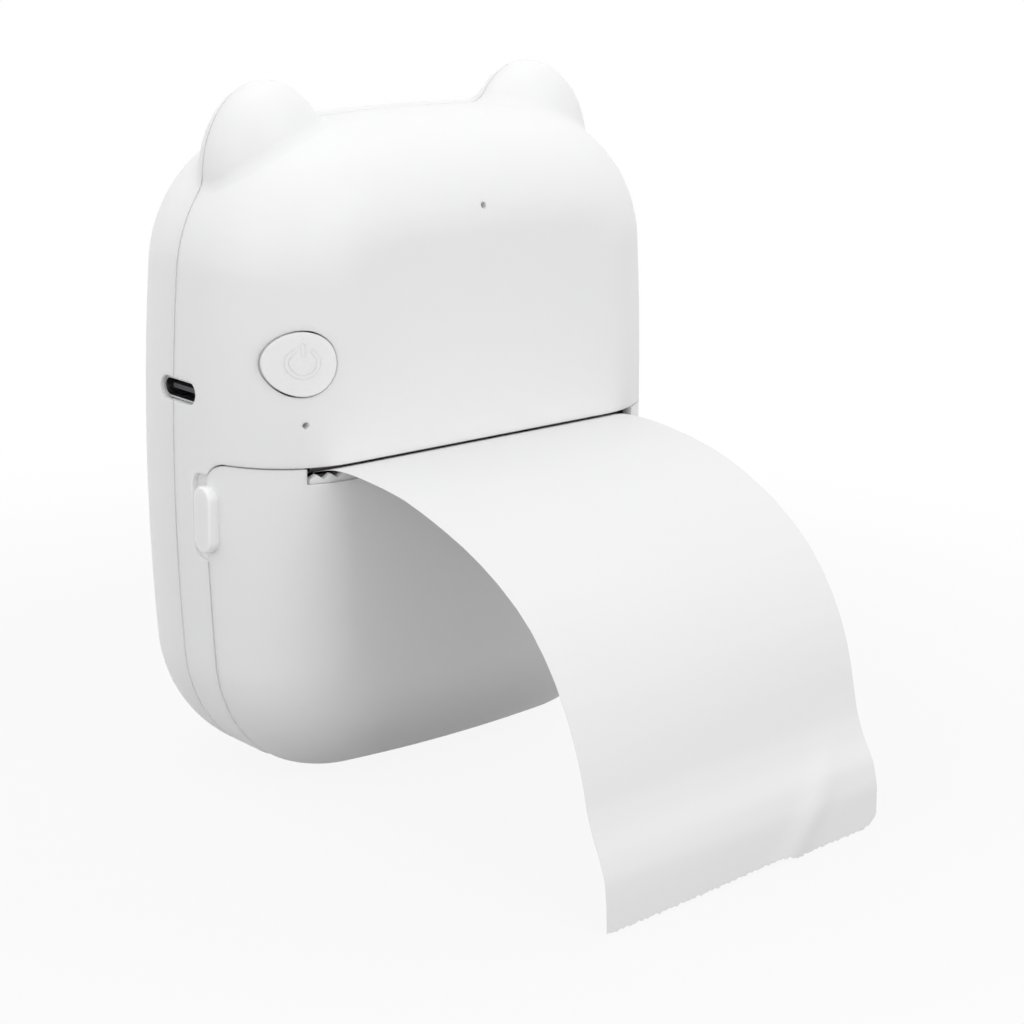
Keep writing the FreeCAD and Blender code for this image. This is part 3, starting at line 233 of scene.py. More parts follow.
class Recipe:
    """Node tree of one finish, read in Object coordinates."""

    # Slow drifts of colour per metre.
    CLOUDS = 42.0
    # Octaves of these drifts, and of the grain of mouldings, of metal and wound paper, and of flat paper.
    CLOUD_DETAIL = 3.0
    PLAIN_DETAIL = 4.0
    LONG_DETAIL = 5.0
    FIBRE_DETAIL = 6.0
    # Stretch of the grain of metal and of flat paper along the axes.
    BRUSHED = (0.08, 1.0, 1.0)
    FIBRES = (1.0, 0.45, 0.45)
    # Heights between which most of a grain lies, and how far the roughness strays to both sides.
    GRAIN_SPAN = (0.2, 0.8)
    ROUGH_SPREAD = 0.05
    # Place of the roll's axis in y and z, and the angle per metre by which its layers follow each other.
    ROLL_AXIS = (0.001, 0.0235)
    LAYERS = 9500.0
    # Heights of the bands above which a board and a ribbon have copper.
    TRACK_EDGE = 0.62
    FILM_EDGE = 0.5
    # Solder dots for each track of a board, and the distances between which a dot falls off.
    DOTS = 1.3
    DOT_SPAN = (0.05, 0.3)

    def __init__(self, finish: Finish) -> None:
        """Start an empty material for one finish.

        Args:
            finish: The finish to mix.
        """
        self.finish = finish
        self.material = bpy.data.materials.new(finish.slot)
        self.material.use_nodes = True
        self.nodes = self.material.node_tree.nodes
        self.links = self.material.node_tree.links
        self.surface = self.nodes["Principled BSDF"]
        self.place = self.nodes.new("ShaderNodeTexCoord").outputs["Object"]

    def math(self, kind: str, first: Socket, second: float = 0.0) -> Socket:
        """Join a socket and a number by one sum.

        Args:
            kind: Operation of the math node.
            first: Socket that goes in.
            second: Number that goes in.

        Returns:
            The socket with the result.
        """
        node = self.nodes.new("ShaderNodeMath")
        node.operation = kind
        self.links.new(first, node.inputs[0])
        node.inputs[1].default_value = second
        return node.outputs[0]

    def texture(self, kind: str, values: dict[str, object], place: Socket | None = None) -> bpy.types.Node:
        """Add a node that reads coordinates.

        Args:
            kind: Type of the node.
            values: Values of its inputs.
            place: Coordinates, or plain Object coordinates.

        Returns:
            The node.
        """
        node = self.nodes.new(kind)
        set_inputs(node, values)
        self.links.new(place or self.place, node.inputs["Vector"])
        return node

    def noise(self, scale: float, detail: float, stretch: Place | None = None) -> Socket:
        """Add soft noise.

        Args:
            scale: Cells per metre.
            detail: Octaves.
            stretch: Factor along each axis, or none.

        Returns:
            The noise from 0 to 1.
        """
        place = None
        if stretch:
            place = self.texture("ShaderNodeMapping", {"Scale": stretch}).outputs["Vector"]
        return self.texture("ShaderNodeTexNoise", {"Scale": scale, "Detail": detail}, place).outputs["Fac"]

    def bands(self, scale: float, direction: str) -> Socket:
        """Add parallel bands.

        Args:
            scale: Bands per metre.
            direction: Axis across which they follow each other.

        Returns:
            The bands' height from 0 to 1.
        """
        node = self.texture("ShaderNodeTexWave", {"Scale": scale})
        node.bands_direction = direction
        return node.outputs["Fac"]

    def cells(self, scale: float) -> Socket:
        """Add scattered cells.

        Args:
            scale: Cells per metre.

        Returns:
            The distance to the middle of the nearest cell.
        """
        return self.texture("ShaderNodeTexVoronoi", {"Scale": scale}).outputs["Distance"]

    def ranged(self, value: Socket, span: Point, out: Point) -> Socket:
        """Carry a value from one span to another.

        Args:
            value: Socket to carry over.
            span: Low and high end of what comes in.
            out: Low and high end of what goes out.

        Returns:
            The carried value.
        """
        node = self.nodes.new("ShaderNodeMapRange")
        self.links.new(value, node.inputs["Value"])
        set_inputs(node, {"From Min": span[0], "From Max": span[1], "To Min": out[0], "To Max": out[1]})
        return node.outputs["Result"]

    def tint(self, factor: Socket, first: Colour, second: Colour) -> Socket:
        """Mix two colours.

        Args:
            factor: Share of the second colour.
            first: First colour.
            second: Second colour.

        Returns:
            The mixed colour.
        """
        node = self.nodes.new("ShaderNodeMix")
        node.data_type = "RGBA"
        self.links.new(factor, node.inputs["Factor"])
        # This node has inputs of the same name for each type of data: 6, 7 and 2 are those for colours.
        node.inputs[6].default_value = (*first, 1.0)
        node.inputs[7].default_value = (*second, 1.0)
        return node.outputs[2]

    def coat(self, factor: Socket, height: Socket) -> None:
        """Put colour, roughness and relief on the surface.

        Args:
            factor: Share of the second colour before the finish's drift.
            height: Grain of the surface from 0 to 1.
        """
        finish = self.finish
        share = self.math("MULTIPLY", factor, finish.drift)
        self.links.new(self.tint(share, finish.colour, finish.shade), self.surface.inputs["Base Color"])
        spread = (finish.rough - self.ROUGH_SPREAD, finish.rough + self.ROUGH_SPREAD)
        self.links.new(self.ranged(height, self.GRAIN_SPAN, spread), self.surface.inputs["Roughness"])
        bump = self.nodes.new("ShaderNodeBump")
        set_inputs(bump, {"Strength": 1.0, "Distance": finish.depth})
        self.links.new(height, bump.inputs["Height"])
        self.links.new(bump.outputs["Normal"], self.surface.inputs["Normal"])
        set_inputs(self.surface, {"Metallic": finish.metal, "Transmission Weight": finish.clear})
        if finish.soft:
            even = (1.0, 1.0, 1.0)
            spread = {"Subsurface Weight": 1.0, "Subsurface Radius": even, "Subsurface Scale": finish.soft}
            set_inputs(self.surface, spread)

    def radius_from(self, axis: Point) -> Socket:
        """Measure the distance from a line along X.

        Args:
            axis: Place of the line in y and z, in metres.

        Returns:
            The distance in metres.
        """
        values = {"Location": (0.0, -axis[0], -axis[1]), "Scale": (0.0, 1.0, 1.0)}
        shift = self.texture("ShaderNodeMapping", values)
        length = self.nodes.new("ShaderNodeVectorMath")
        length.operation = "LENGTH"
        self.links.new(shift.outputs["Vector"], length.inputs[0])
        return length.outputs["Value"]

    def mix(self) -> bpy.types.Material:
        """Mix the finish for its kind of surface.

        Returns:
            The finished material.
        """
        look, grain = self.finish.look, self.finish.grain
        clouds = self.noise(self.CLOUDS, self.CLOUD_DETAIL)
        if look is Look.BRUSHED:
            self.coat(clouds, self.noise(grain, self.LONG_DETAIL, self.BRUSHED))
        elif look is Look.WOUND:
            turns = self.math("SINE", self.math("MULTIPLY", self.radius_from(self.ROLL_AXIS), self.LAYERS))
            layers = self.ranged(turns, (-1.0, 1.0), (0.0, 1.0))
            self.coat(layers, self.noise(grain, self.LONG_DETAIL))
        elif look is Look.PAPER:
            self.coat(clouds, self.noise(grain, self.FIBRE_DETAIL, self.FIBRES))
        elif look is Look.BOARD:
            tracks = self.math("GREATER_THAN", self.bands(grain, "DIAGONAL"), self.TRACK_EDGE)
            self.coat(tracks, self.ranged(self.cells(grain * self.DOTS), self.DOT_SPAN, (1.0, 0.0)))
        elif look is Look.FOAM:
            self.coat(self.cells(grain), self.cells(grain))
        elif look is Look.FILM:
            tracks = self.math("GREATER_THAN", self.bands(grain, "X"), self.FILM_EDGE)
            self.coat(tracks, tracks)
        else:
            self.coat(clouds, self.noise(grain, self.PLAIN_DETAIL))
        return self.material


class Palette:
    """Finishes mixed so far, each mixed once."""

    def __init__(self) -> None:
        """Start with nothing mixed."""
        self.mixed: dict[Finish, bpy.types.Material] = {}

    def put(self, piece: Piece, finish: Finish) -> None:
        """Give a piece one finish all over.

        Args:
            piece: Piece to finish.
            finish: Finish to put on it.
        """
        if finish not in self.mixed:
            self.mixed[finish] = Recipe(finish).mix()
        piece.data.materials.clear()
        piece.data.materials.append(self.mixed[finish])


def deselect() -> None:
    """Leave edit mode and select nothing."""
    if bpy.context.object is not None and bpy.context.object.mode != "OBJECT":
        bpy.ops.object.mode_set(mode="OBJECT")
    bpy.ops.object.select_all(action="DESELECT")


def take(piece: Piece) -> None:
    """Make one piece the only selected and the active one.

    Args:
        piece: Piece to take.
    """
    deselect()
    piece.select_set(True)
    bpy.context.view_layer.objects.active = piece


def edit(select: str = "SELECT") -> None:
    """Go into edit mode with everything or nothing selected.

    Args:
        select: SELECT for everything and DESELECT for nothing.
    """
    bpy.ops.object.mode_set(mode="EDIT")
    bpy.ops.mesh.select_mode(type="FACE")
    bpy.ops.mesh.select_all(action=select)


def finish_modifier(piece: Piece, kind: str, **settings: object) -> None:
    """Add one modifier to a piece and apply it.

    Args:
        piece: Piece to change.
        kind: Type of the modifier.
        settings: Values of the modifier.
    """
    take(piece)
    bpy.ops.object.modifier_add(type=kind)
    modifier = piece.modifiers[-1]
    for name, value in settings.items():
        setattr(modifier, name, value)
    bpy.ops.object.modifier_apply(modifier=modifier.name)


def settle(piece: Piece, name: str) -> Piece:
    """Name a new piece and put its place into its mesh.

    Args:
        piece: New piece.
        name: Its name.

    Returns:
        The same piece.
    """
    piece.name = name
    piece.data.name = name
    take(piece)
    bpy.ops.object.transform_apply(location=True, rotation=True, scale=True)
    return piece


def shade(piece: Piece, crease: float, even: bool = False) -> None:
    """Shade a piece smooth.

    Args:
        piece: Piece to shade.
        crease: Largest smoothed angle in degrees.
        even: Whether its large faces are kept even.
    """
    take(piece)
    if even:
        bpy.ops.mesh.customdata_custom_splitnormals_clear()
    bpy.ops.object.shade_smooth_by_angle(angle=math.radians(crease))
    if even:
        finish_modifier(piece, "WEIGHTED_NORMAL", keep_sharp=True)


def welded(node: str, crease: float) -> Piece:
    """Copy a CAD node with its loose triangles joined and shaded smooth.

    Args:
        node: Name of the node.
        crease: Largest smoothed angle in degrees.

    Returns:
        The copy, which stands for the node.
    """
    take(frame["nodes"][node])
    bpy.ops.object.duplicate()
    piece = bpy.context.view_layer.objects.active
    piece.parent = None
    for key in [key for key in piece.keys() if key.startswith("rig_")]:
        del piece[key]
    settle(piece, f"{node}_dressed")
    edit()
    bpy.ops.mesh.remove_doubles(threshold=WELD)
    bpy.ops.object.mode_set(mode="OBJECT")
    shade(piece, crease, even=True)
    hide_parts(node)
    return piece


@dataclass
class Assembly:
    """Nodes that belong together, each with its finish.

    Attributes:
        palette: Finishes mixed so far.
        finishes: Finish of each node.
        crease: Largest smoothed angle in degrees.
        made: Pieces made so far, by node.
    """

    palette: Palette
    finishes: dict[str, Finish]
    crease: float = 32.0
    made: dict[str, Piece] = field(default_factory=dict)

    def dress(self) -> None:
        """Weld and finish every node of the assembly."""
        for node, finish in self.finishes.items():
            piece = welded(node, self.crease)
            self.carry(piece, node)
            self.palette.put(piece, finish)
            self.made[node] = piece
            LOG.info("%s: %s", piece.name, finish.slot)

    def carry(self, piece: Piece, node: str) -> None:
        """Let a piece move with the body of its node.

        Args:
            piece: Piece to carry.
            node: Node that it stands for.
        """
        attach(piece, BODY_OF[node])


@dataclass
class PrintHead(Assembly):
    """Print head, whose springs and ribbon stay where they are and move with no body.

    Attributes:
        bends: Where each soft node leaves the head and reaches the case, in y and z, in millimetres.
    """

    bends: dict[str, tuple[Point, Point]] = field(
        default_factory=lambda: {
            "head_springs": ((-9.06, 52.62), (-7.95, 56.47)),
            "head_ribbon": ((0.0, 48.0), (0.0, 57.0)),
        }
    )

    def carry(self, piece: Piece, node: str) -> None:
        """Leave the springs and the ribbon fixed in place between head and case, and let the rest ride.

        Args:
            piece: Piece to carry.
            node: Node that it stands for.
        """
        if node not in self.bends:
            super().carry(piece, node)
            return
        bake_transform(piece)


@dataclass
class EarHollow:
    """Soft hollow between one ear and the shells, in millimetres.

    A ball rolled along the corner between the ear and the shells gives the hollow its form.

    Attributes:
        side: 1 for the right ear and -1 for the left one.
        shells: Meshes of the shells.
        ear: Middle of the right ear.
        half: Half sizes of an ear.
        lean: Direction in which the right ear grows, in x and z.
        skin: How far the value of egg may be from 1 on the skin of the ear.
        radius: Radius of the ball.
        steps: Sections of the hollow.
        rounds: Points across the hollow.
        sunk: How far the hollow's rims lie in the skin.
        root: Depth of the hollow's root behind its surface.
        start: How far the ball starts from the ear's middle, away from the ear's axis and along it.
        stride: Longest move of the ball in one try.
        still: Move at which the ball has found its place.
        tries: Most tries to find the ball's place.
        crossing: Smallest slope between both skins that is reckoned with.
        seam_guess: First guess of the angle at which the hollow meets the seam.
        seam_tries: Tries to find that angle.
    """

    side: int
    shells: InitVar[list[bpy.types.Mesh]]
    ear: Place = (25.3, 0.5, 92.0)
    half: Place = (10.3, 8.8, 13.8)
    lean: Point = (0.4, 0.917)
    skin: float = 0.004
    radius: float = 3.5
    steps: int = 90
    rounds: int = 9
    sunk: float = 0.006
    root: float = 1.6
    start: Point = (13.0, 6.0)
    stride: float = 1.5
    still: float = 1e-5
    tries: int = 40
    crossing: float = 0.05
    seam_guess: float = 0.12
    seam_tries: int = 6

    def __post_init__(self, shells: list[bpy.types.Mesh]) -> None:
        """Part the skin of both shells into this ear and the rest.

        Args:
            shells: Meshes of the shells.
        """
        self.middle = Vector((self.side * self.ear[0], *self.ear[1:]))
        points, ear, rest = [], [], []
        for mesh in shells:
            first = len(points)
            points += [vertex.co / MM for vertex in mesh.vertices]
            for face in mesh.polygons:
                corners = [first + k for k in face.vertices]
                depths = [self.egg(points[k]) - 1.0 for k in corners]
                # Faces further in are the ear's rims at the seam, and belong to neither skin.
                if max(depths) > self.skin:
                    rest.append(corners)
                elif min(depths) > -self.skin:
                    ear.append(corners)
        self.skins = (BVHTree.FromPolygons(points, ear), BVHTree.FromPolygons(points, rest))

    def egg(self, point: Vector) -> float:
        """Tell how a point lies to the skin of the ear.

        Args:
            point: Point to look at.

        Returns:
            1 on the skin, and more outside it.
        """
        return sum(((point[i] - self.middle[i]) / self.half[i]) ** 2 for i in range(3))

    def section(self, turn: float) -> tuple[Vector, Line]:
        """Lay the ball into the corner.

        Args:
            turn: Angle round the ear's axis.

        Returns:
            The ball's middle, and the points where it touches the ear and the shell.
        """
        axis = Vector((self.side * self.lean[0], 0.0, self.lean[1]))
        across = Vector((self.side * self.lean[1], 0.0, -self.lean[0]))
        out = across * math.cos(turn) + Vector((0, 1, 0)) * math.sin(turn)
        ball = self.middle + out * self.start[0] + axis * self.start[1]
        for _ in range(self.tries):
            rows, touch = [], []
            for tree in self.skins:
                point, facing, _, reach = tree.find_nearest(ball)
                away = math.copysign(reach, (ball - point).dot(facing))
                slope = (ball - point) / away
                rows.append((slope.dot(out), slope.dot(axis), self.radius - away))
                touch.append(point)
            # Two equations in two unknowns: how far to move away from the axis and along it.
            (a, b, e), (c, d, f) = rows
            whole = math.copysign(max(abs(a * d - b * c), self.crossing), a * d - b * c)
            move = out * ((e * d - b * f) / whole) + axis * ((a * f - e * c) / whole)
            ball = ball + move * min(1.0, self.stride / max(move.length, TINY))
            if move.length < self.still:
                break
        return ball, touch

    def spot(self, turn: float, track: int) -> Vector:
        """Give a point of the hollow.

        Args:
            turn: Angle round the ear's axis.
            track: Number of the point across the hollow, where the last one is the buried root.

        Returns:
            The point.
        """
        ball, touch = self.section(turn)
        high, low = ((point - ball).normalized() for point in touch)
        if track == self.rounds:
            return ball + high.slerp(low, 0.5) * (self.radius + self.root)
        return ball + high.slerp(low, track / (self.rounds - 1)) * (self.radius + self.sunk)

    def seam_turn(self, edge: float, base: float, track: int) -> float:
        """Give the angle past the ear's middle at which a track of the hollow meets the seam.

        Args:
            edge: Place of the shell's edge in y.
            base: 0 for the outer side of the ear and pi for the inner one.
            track: Number of the point across the hollow.

        Returns:
            The angle.
        """
        angle = self.seam_guess
        for _ in range(self.seam_tries):
            point = self.spot(abs(base - angle), track)
            angle = math.asin(math.sin(angle) * (edge - self.ear[1]) / (point.y - self.ear[1]))
        return angle

    def half_for(self, edge: float, sign: int) -> Piece:
        """Model the half of the hollow that belongs to one shell.

        Args:
            edge: Place of the shell's edge in y.
            sign: -1 for the front shell and 1 for the rear one.

        Returns:
            The solid half.
        """
        tracks = range(self.rounds + 1)
        outer = [self.seam_turn(edge, 0.0, k) for k in tracks]
        inner = [sign * math.pi - self.seam_turn(edge, math.pi, k) for k in tracks]
        shape = bmesh.new()
        loops = []
        for step in range(self.steps + 1):
            turns = [a + (b - a) * (step / self.steps) for a, b in zip(outer, inner)]
            loops.append([shape.verts.new(self.spot(turns[k], k) * MM) for k in tracks])
        for near, far in zip(loops, loops[1:]):
            for k in tracks:
                shape.faces.new((near[k - 1], near[k], far[k], far[k - 1]))
        shape.faces.new(loops[0])
        shape.faces.new(loops[-1])
        bmesh.ops.recalc_face_normals(shape, faces=shape.faces)
        mesh = bpy.data.meshes.new("ear_hollow")
        shape.to_mesh(mesh)
        shape.free()
        part = bpy.data.objects.new("ear_hollow", mesh)
        bpy.context.collection.objects.link(part)
        return part


@dataclass
class Case(Assembly):
    """Case shells and paper cover, with the ears moulded softly into the shells.

    Attributes:
        edges: Place in y where each shell ends at the seam, and the side of it that the shell is on.
    """

    edges: dict[str, tuple[float, int]] = field(
        default_factory=lambda: {"front_shell": (1.875, -1), "rear_shell": (2.125, 1)}
    )

    def mould(self) -> None:
        """Add the soft hollow round both ears to both shells."""
        meshes = [self.made[node].data for node in self.edges]
        hollows = [EarHollow(side, meshes) for side in (-1, 1)]
        for node, (edge, sign) in self.edges.items():
            shell = self.made[node]
            for part in [hollow.half_for(edge, sign) for hollow in hollows]:
                finish_modifier(shell, "BOOLEAN", object=part, operation="UNION", solver="EXACT")
                bpy.data.objects.remove(part)
            shade(shell, self.crease, even=True)
            LOG.info("%s: ears moulded in", shell.name)


@dataclass
class PowerButton(Assembly):
    """Power button with its sign.

    Attributes:
        middle: Middle of the sign in x and z, in millimetres.
        ring: Middle radius of the sign's ring.
        line: Width of the sign's lines.
        bar: Length of the sign's bar.
        drop: How far the bar's middle lies below the top of the ring.
        gap: Half angle of the ring's opening, in degrees.
        lift: How far the sign stands on the cap.
        ahead: Distance ahead of the cap at which the sign is drawn.
        corners: Corners of the ring.
        cuts: Cuts through the bar, so that it can follow the cap.
    """

    middle: Point = (-32.3, 67.7)
    ring: float = 2.05
    line: float = 0.46
    bar: float = 1.9
    drop: float = 0.15
    gap: float = 30.0
    lift: float = 0.02
    ahead: float = 2.0
    corners: int = 72
    cuts: int = 4

    def sign(self) -> None:
        """Model the ring and bar of the sign and lay them on the cap."""
        x, z = (value * MM for value in self.middle)
        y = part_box("power_button")[0].y - self.ahead * MM
        inner = (self.ring - self.line / 2) * MM
        grow = (self.ring + self.line / 2) / (self.ring - self.line / 2)
        upright = (math.pi / 2, 0, 0)
        deselect()
        bpy.ops.mesh.primitive_circle_add(
            vertices=self.corners, radius=inner, location=(x, y, z), rotation=upright
        )
        piece = settle(bpy.context.object, "power_sign")
        edit()
        bpy.ops.mesh.select_mode(type="EDGE")
        bpy.ops.mesh.select_all(action="SELECT")
        bpy.ops.mesh.extrude_edges_move()
        bpy.ops.transform.resize(value=(grow, 1.0, grow), center_override=(x, y, z))
        edit("DESELECT")
        bpy.ops.object.mode_set(mode="OBJECT")
        for face in piece.data.polygons:
            turn = math.degrees(math.atan2(face.center.x - x, face.center.z - z))
            face.select = abs(turn) < self.gap
        bpy.ops.object.mode_set(mode="EDIT")
        bpy.ops.mesh.delete(type="FACE")
        high = z + (self.ring - self.drop) * MM
        bpy.ops.mesh.primitive_plane_add(size=self.line * MM, location=(x, y, high), rotation=upright)
        bpy.ops.transform.resize(value=(1.0, 1.0, self.bar / self.line), center_override=(x, y, high))
        bpy.ops.mesh.subdivide(number_cuts=self.cuts)
        bpy.ops.object.mode_set(mode="OBJECT")
        finish_modifier(
            piece, "SHRINKWRAP", target=self.made["power_button"], wrap_method="PROJECT",
            use_project_y=True, use_positive_direction=True, use_negative_direction=False,
        )
        finish_modifier(piece, "SOLIDIFY", thickness=2 * self.lift * MM, offset=0.0)
        edit()
        bpy.ops.mesh.normals_make_consistent(inside=False)
        shade(piece, self.crease)
        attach(piece, BODY_OF["power_button"])
        self.palette.put(piece, SIGN_GREY)
        LOG.info("%s: ring and bar on the cap", piece.name)


@dataclass
class Fasteners(Assembly):
    """Screws, with a cross recess in the heads of the case screws.

    Attributes:
        places: Middles of the heads in x and z, in millimetres.
        span: Length of the recess's arms.
        arm: Width of an arm.
        sunk: Depth of the recess.
    """

    places: tuple[Point, ...] = ((33.5, 82.0), (-33.5, 82.0), (34.6, 24.0), (-34.6, 24.0))
    span: float = 2.0
    arm: float = 0.5
    sunk: float = 0.7

    def recess(self) -> None:
        """Cut the cross recess into each case screw."""
        piece = self.made["case_screws"]
        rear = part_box("case_screws")[1].y
        for x, z in self.places:
            for wide, high in ((self.span, self.arm), (self.arm, self.span)):
                deselect()
                bpy.ops.mesh.primitive_cube_add(
                    size=1.0,
                    location=(x * MM, rear, z * MM),
                    scale=(wide * MM, 2 * self.sunk * MM, high * MM),
                )
                cutter = settle(bpy.context.object, "recess_cutter")
                finish_modifier(piece, "BOOLEAN", object=cutter, operation="DIFFERENCE", solver="EXACT")
                bpy.data.objects.remove(cutter)
        shade(piece, self.crease)
        LOG.info("%s: cross recesses cut", piece.name)


def spaced(points: Line, count: int) -> Line:
    """Spread points evenly along a line of points.

    Args:
        points: Line of points.
        count: How many points to give.

    Returns:
        Points at even steps of length.
    """
    reach = [0.0]
    for first, second in zip(points, points[1:]):
        reach.append(reach[-1] + (second - first).length)
    out, k = [], 0
    for i in range(count):
        goal = reach[-1] * i / (count - 1)
        while k < len(points) - 2 and reach[k + 1] < goal:
            k += 1
        share = (goal - reach[k]) / max(reach[k + 1] - reach[k], TINY)
        out.append(points[k].lerp(points[k + 1], min(share, 1.0)))
    return out


def flowing(points: tuple[Point, ...], count: int, passes: int) -> Line:
    """Draw an even smooth line through points of y and z.

    Args:
        points: Points in millimetres.
        count: Points of the smooth line.
        passes: Times that each inner point moves to the middle of its neighbours.

    Returns:
        The line in metres, with y and z in each point's x and y.
    """
    line = spaced([Vector(point) * MM for point in points], count)
    for _ in range(passes):
        inner = [(a + 2 * b + c) / 4 for a, b, c in zip(line, line[1:], line[2:])]
        line = [line[0], *inner, line[-1]]
    return spaced(line, count)


def length_of(line: Line) -> float:
    """Measure a line of points.

    Args:
        line: Line of points.

    Returns:
        Its length.
    """
    return sum((b - a).length for a, b in zip(line, line[1:]))


@dataclass(frozen=True)
class TornEnd:
    """Ragged end of paper that was torn off, along its width in millimetres.

    Attributes:
        depth: Size of all that is torn off.
        turns: Angle per millimetre of the coarse waves, of their swelling and of the fine waves.
        starts: Angle at which these three begin.
        waves: Even part of the waves, and the shares of the coarse and the fine ones.
        notch: Where the tear steps back.
        sudden: How sudden that step is.
        corner: Width of the lost right corner.
        shares: Shares of the waves, of the slope before the step and of the lost corner.
    """

    depth: float = 0.0
    turns: Place = (2.9, 0.71, 5.3)
    starts: Place = (0.0, 1.0, 0.6)
    waves: Place = (0.5, 0.28, 0.22)
    notch: float = 37.5
    sudden: float = 2.5
    corner: float = 4.0
    shares: Place = (0.55, 0.9, 2.2)

    def lost(self, x: float, width: float) -> float:
        """Give how much of the length is torn off.

        Args:
            x: Distance from the left edge.
            width: Width of the paper.

        Returns:
            The lost length.
        """
        first, second, third = (math.sin(turn * x + start) for turn, start in zip(self.turns, self.starts))
        wave = self.waves[0] + self.waves[1] * first * second + self.waves[2] * third
        step = 1.0 / (1.0 + math.exp(-(x - self.notch) * self.sudden))
        slope = self.shares[1] * (1.0 - step) * (x / self.notch) ** 2
        corner = max(0.0, (x - width + self.corner) / self.corner) ** 3
        return self.depth * (self.shares[0] * wave + slope + self.shares[2] * corner)


@dataclass(frozen=True)
class Fold:
    """Diagonal fold near the torn end, in millimetres.

    Attributes:
        height: Height of the fold.
        place: Where it meets the torn end, from the left edge.
        lie: Share of the width and of the length in its direction.
        size: Its half length and half width.
        middle: Where it is highest, in half lengths.
    """

    height: float = 0.0
    place: float = 37.0
    lie: Point = (0.66, 0.75)
    size: Point = (9.0, 2.6)
    middle: float = 0.7

    def rise(self, x: float, rest: float) -> float:
        """Give the height of the fold.

        Args:
            x: Distance from the left edge.
            rest: Length left to the torn end.

        Returns:
            The height.
        """
        x = x - self.place
        along = (x * self.lie[0] + rest * self.lie[1]) / self.size[0]
        across = (x * self.lie[1] - rest * self.lie[0]) / self.size[1]
        return self.height * (math.exp(-((along - self.middle) ** 2)) * math.exp(-(across**2)))


@dataclass
class PaperSheet:
    """A length of receipt paper between two edge lines.

    Attributes:
        palette: Finishes mixed so far.
        name: Name of the piece.
        node: CAD node that it stands for.
        left: Points of the left edge in y and z, in millimetres.
        right: Points of the right edge.
        held: How the paper is held. Not used.
        rests_on: What it lies on or hangs from. Not used.
        width: Width of the paper.
        shift: How far the paper runs to the left of the middle.
        thickness: Thickness of the paper.
        columns: Faces across.
        rows: Faces along.
        fineness: Points of an edge line for each row.
        passes: Smoothing of the edge lines.
        crease: Largest smoothed angle in degrees.
        torn: Its torn end.
        fold: Its fold.
    """

    palette: Palette
    name: str
    node: str
    left: tuple[Point, ...]
    right: tuple[Point, ...]
    held: str
    rests_on: tuple[str, ...]
    width: float = 57.0
    shift: float = 0.0
    thickness: float = 0.08
    columns: int = 150
    rows: int = 110
    fineness: int = 4
    passes: int = 8
    crease: float = 60.0
    torn: TornEnd = TornEnd()
    fold: Fold = Fold()

    def place(self, u: float, v: float, lines: tuple[Line, Line], length: float) -> Vector:
        """Give the place of a point of the flat sheet.

        Args:
            u: Share of the width.
            v: Share of the length.
            lines: Left and right edge lines.
            length: Length of the sheet in metres.

        Returns:
            The point in the printer's frame.
        """
        v = v * (1.0 - self.torn.lost(u * self.width, self.width) * MM / length)
        at = v * (len(lines[0]) - 1)
        k = min(int(at), len(lines[0]) - 2)
        ends = [line[k].lerp(line[k + 1], at - k) for line in lines]
        middle = ends[0].lerp(ends[1], u)
        run = (lines[0][k + 1] - lines[0][k]).normalized()
        out = Vector((run.y, -run.x)) * self.fold.rise(u * self.width, (1.0 - v) * length / MM) * MM
        x = ((u - 0.5) * self.width - self.shift) * MM
        return Vector((x, middle.x + out.x, max(middle.y + out.y, self.thickness * MM)))

    def build(self) -> None:
        count = self.fineness * self.rows
        lines = tuple(flowing(edge, count, self.passes) for edge in (self.left, self.right))
        length = (length_of(lines[0]) + length_of(lines[1])) / 2
        deselect()
        bpy.ops.mesh.primitive_grid_add(x_subdivisions=self.columns, y_subdivisions=self.rows, size=1.0)
        piece = settle(bpy.context.object, self.name)
        for vertex in piece.data.vertices:
            vertex.co = self.place(vertex.co.x + 0.5, vertex.co.y + 0.5, lines, length)
        finish_modifier(piece, "SOLIDIFY", thickness=self.thickness * MM, offset=0.0)
        edit()
        bpy.ops.mesh.normals_make_consistent(inside=False)
        shade(piece, self.crease)
        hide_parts(self.node)
        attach(piece, BODY_OF[self.node])
        self.palette.put(piece, STRIP_PAPER)
        LOG.info("%s: %.1f x %.1f mm of paper", piece.name, self.width, length / MM)


# Lines of the paper in y and z, in millimetres: in the slot, both edges of the strip, and the web.
INNER_RUN = ((-10.3, 48.98), (-13.8, 49.95), (-18.7, 51.45), (-20.9, 51.92))
LEFT_EDGE = INNER_RUN + (
    (-23.1, 52.05), (-25.3, 52.08), (-27.6, 51.97), (-32.3, 51.6), (-36.9, 51.0), (-41.4, 49.9),
    (-45.8, 48.6), (-50.2, 47.1), (-54.2, 45.4), (-57.9, 43.5), (-61.7, 41.1), (-64.8, 38.6),
    (-67.4, 35.8), (-69.6, 32.9), (-71.8, 29.4), (-73.5, 25.9), (-74.8, 22.7), (-75.8, 19.6),
    (-76.6, 16.4), (-77.8, 13.3), (-79.3, 10.4), (-80.4, 7.6), (-80.8, 4.2), (-81.0, 0.1),
)
RIGHT_EDGE = INNER_RUN + (
    (-23.1, 52.07), (-25.4, 52.12), (-29.7, 51.93), (-35.5, 51.3), (-41.0, 50.3), (-44.8, 49.2),
    (-48.2, 48.0), (-53.8, 45.4), (-58.1, 42.7), (-61.7, 39.8), (-64.5, 36.7), (-66.7, 33.6),
    (-68.6, 30.3), (-70.0, 27.0), (-71.1, 23.5), (-71.9, 20.0), (-72.8, 16.4), (-74.3, 13.1),
    (-76.3, 10.1), (-77.3, 6.5), (-77.4, 2.7), (-77.5, 0.1),
)
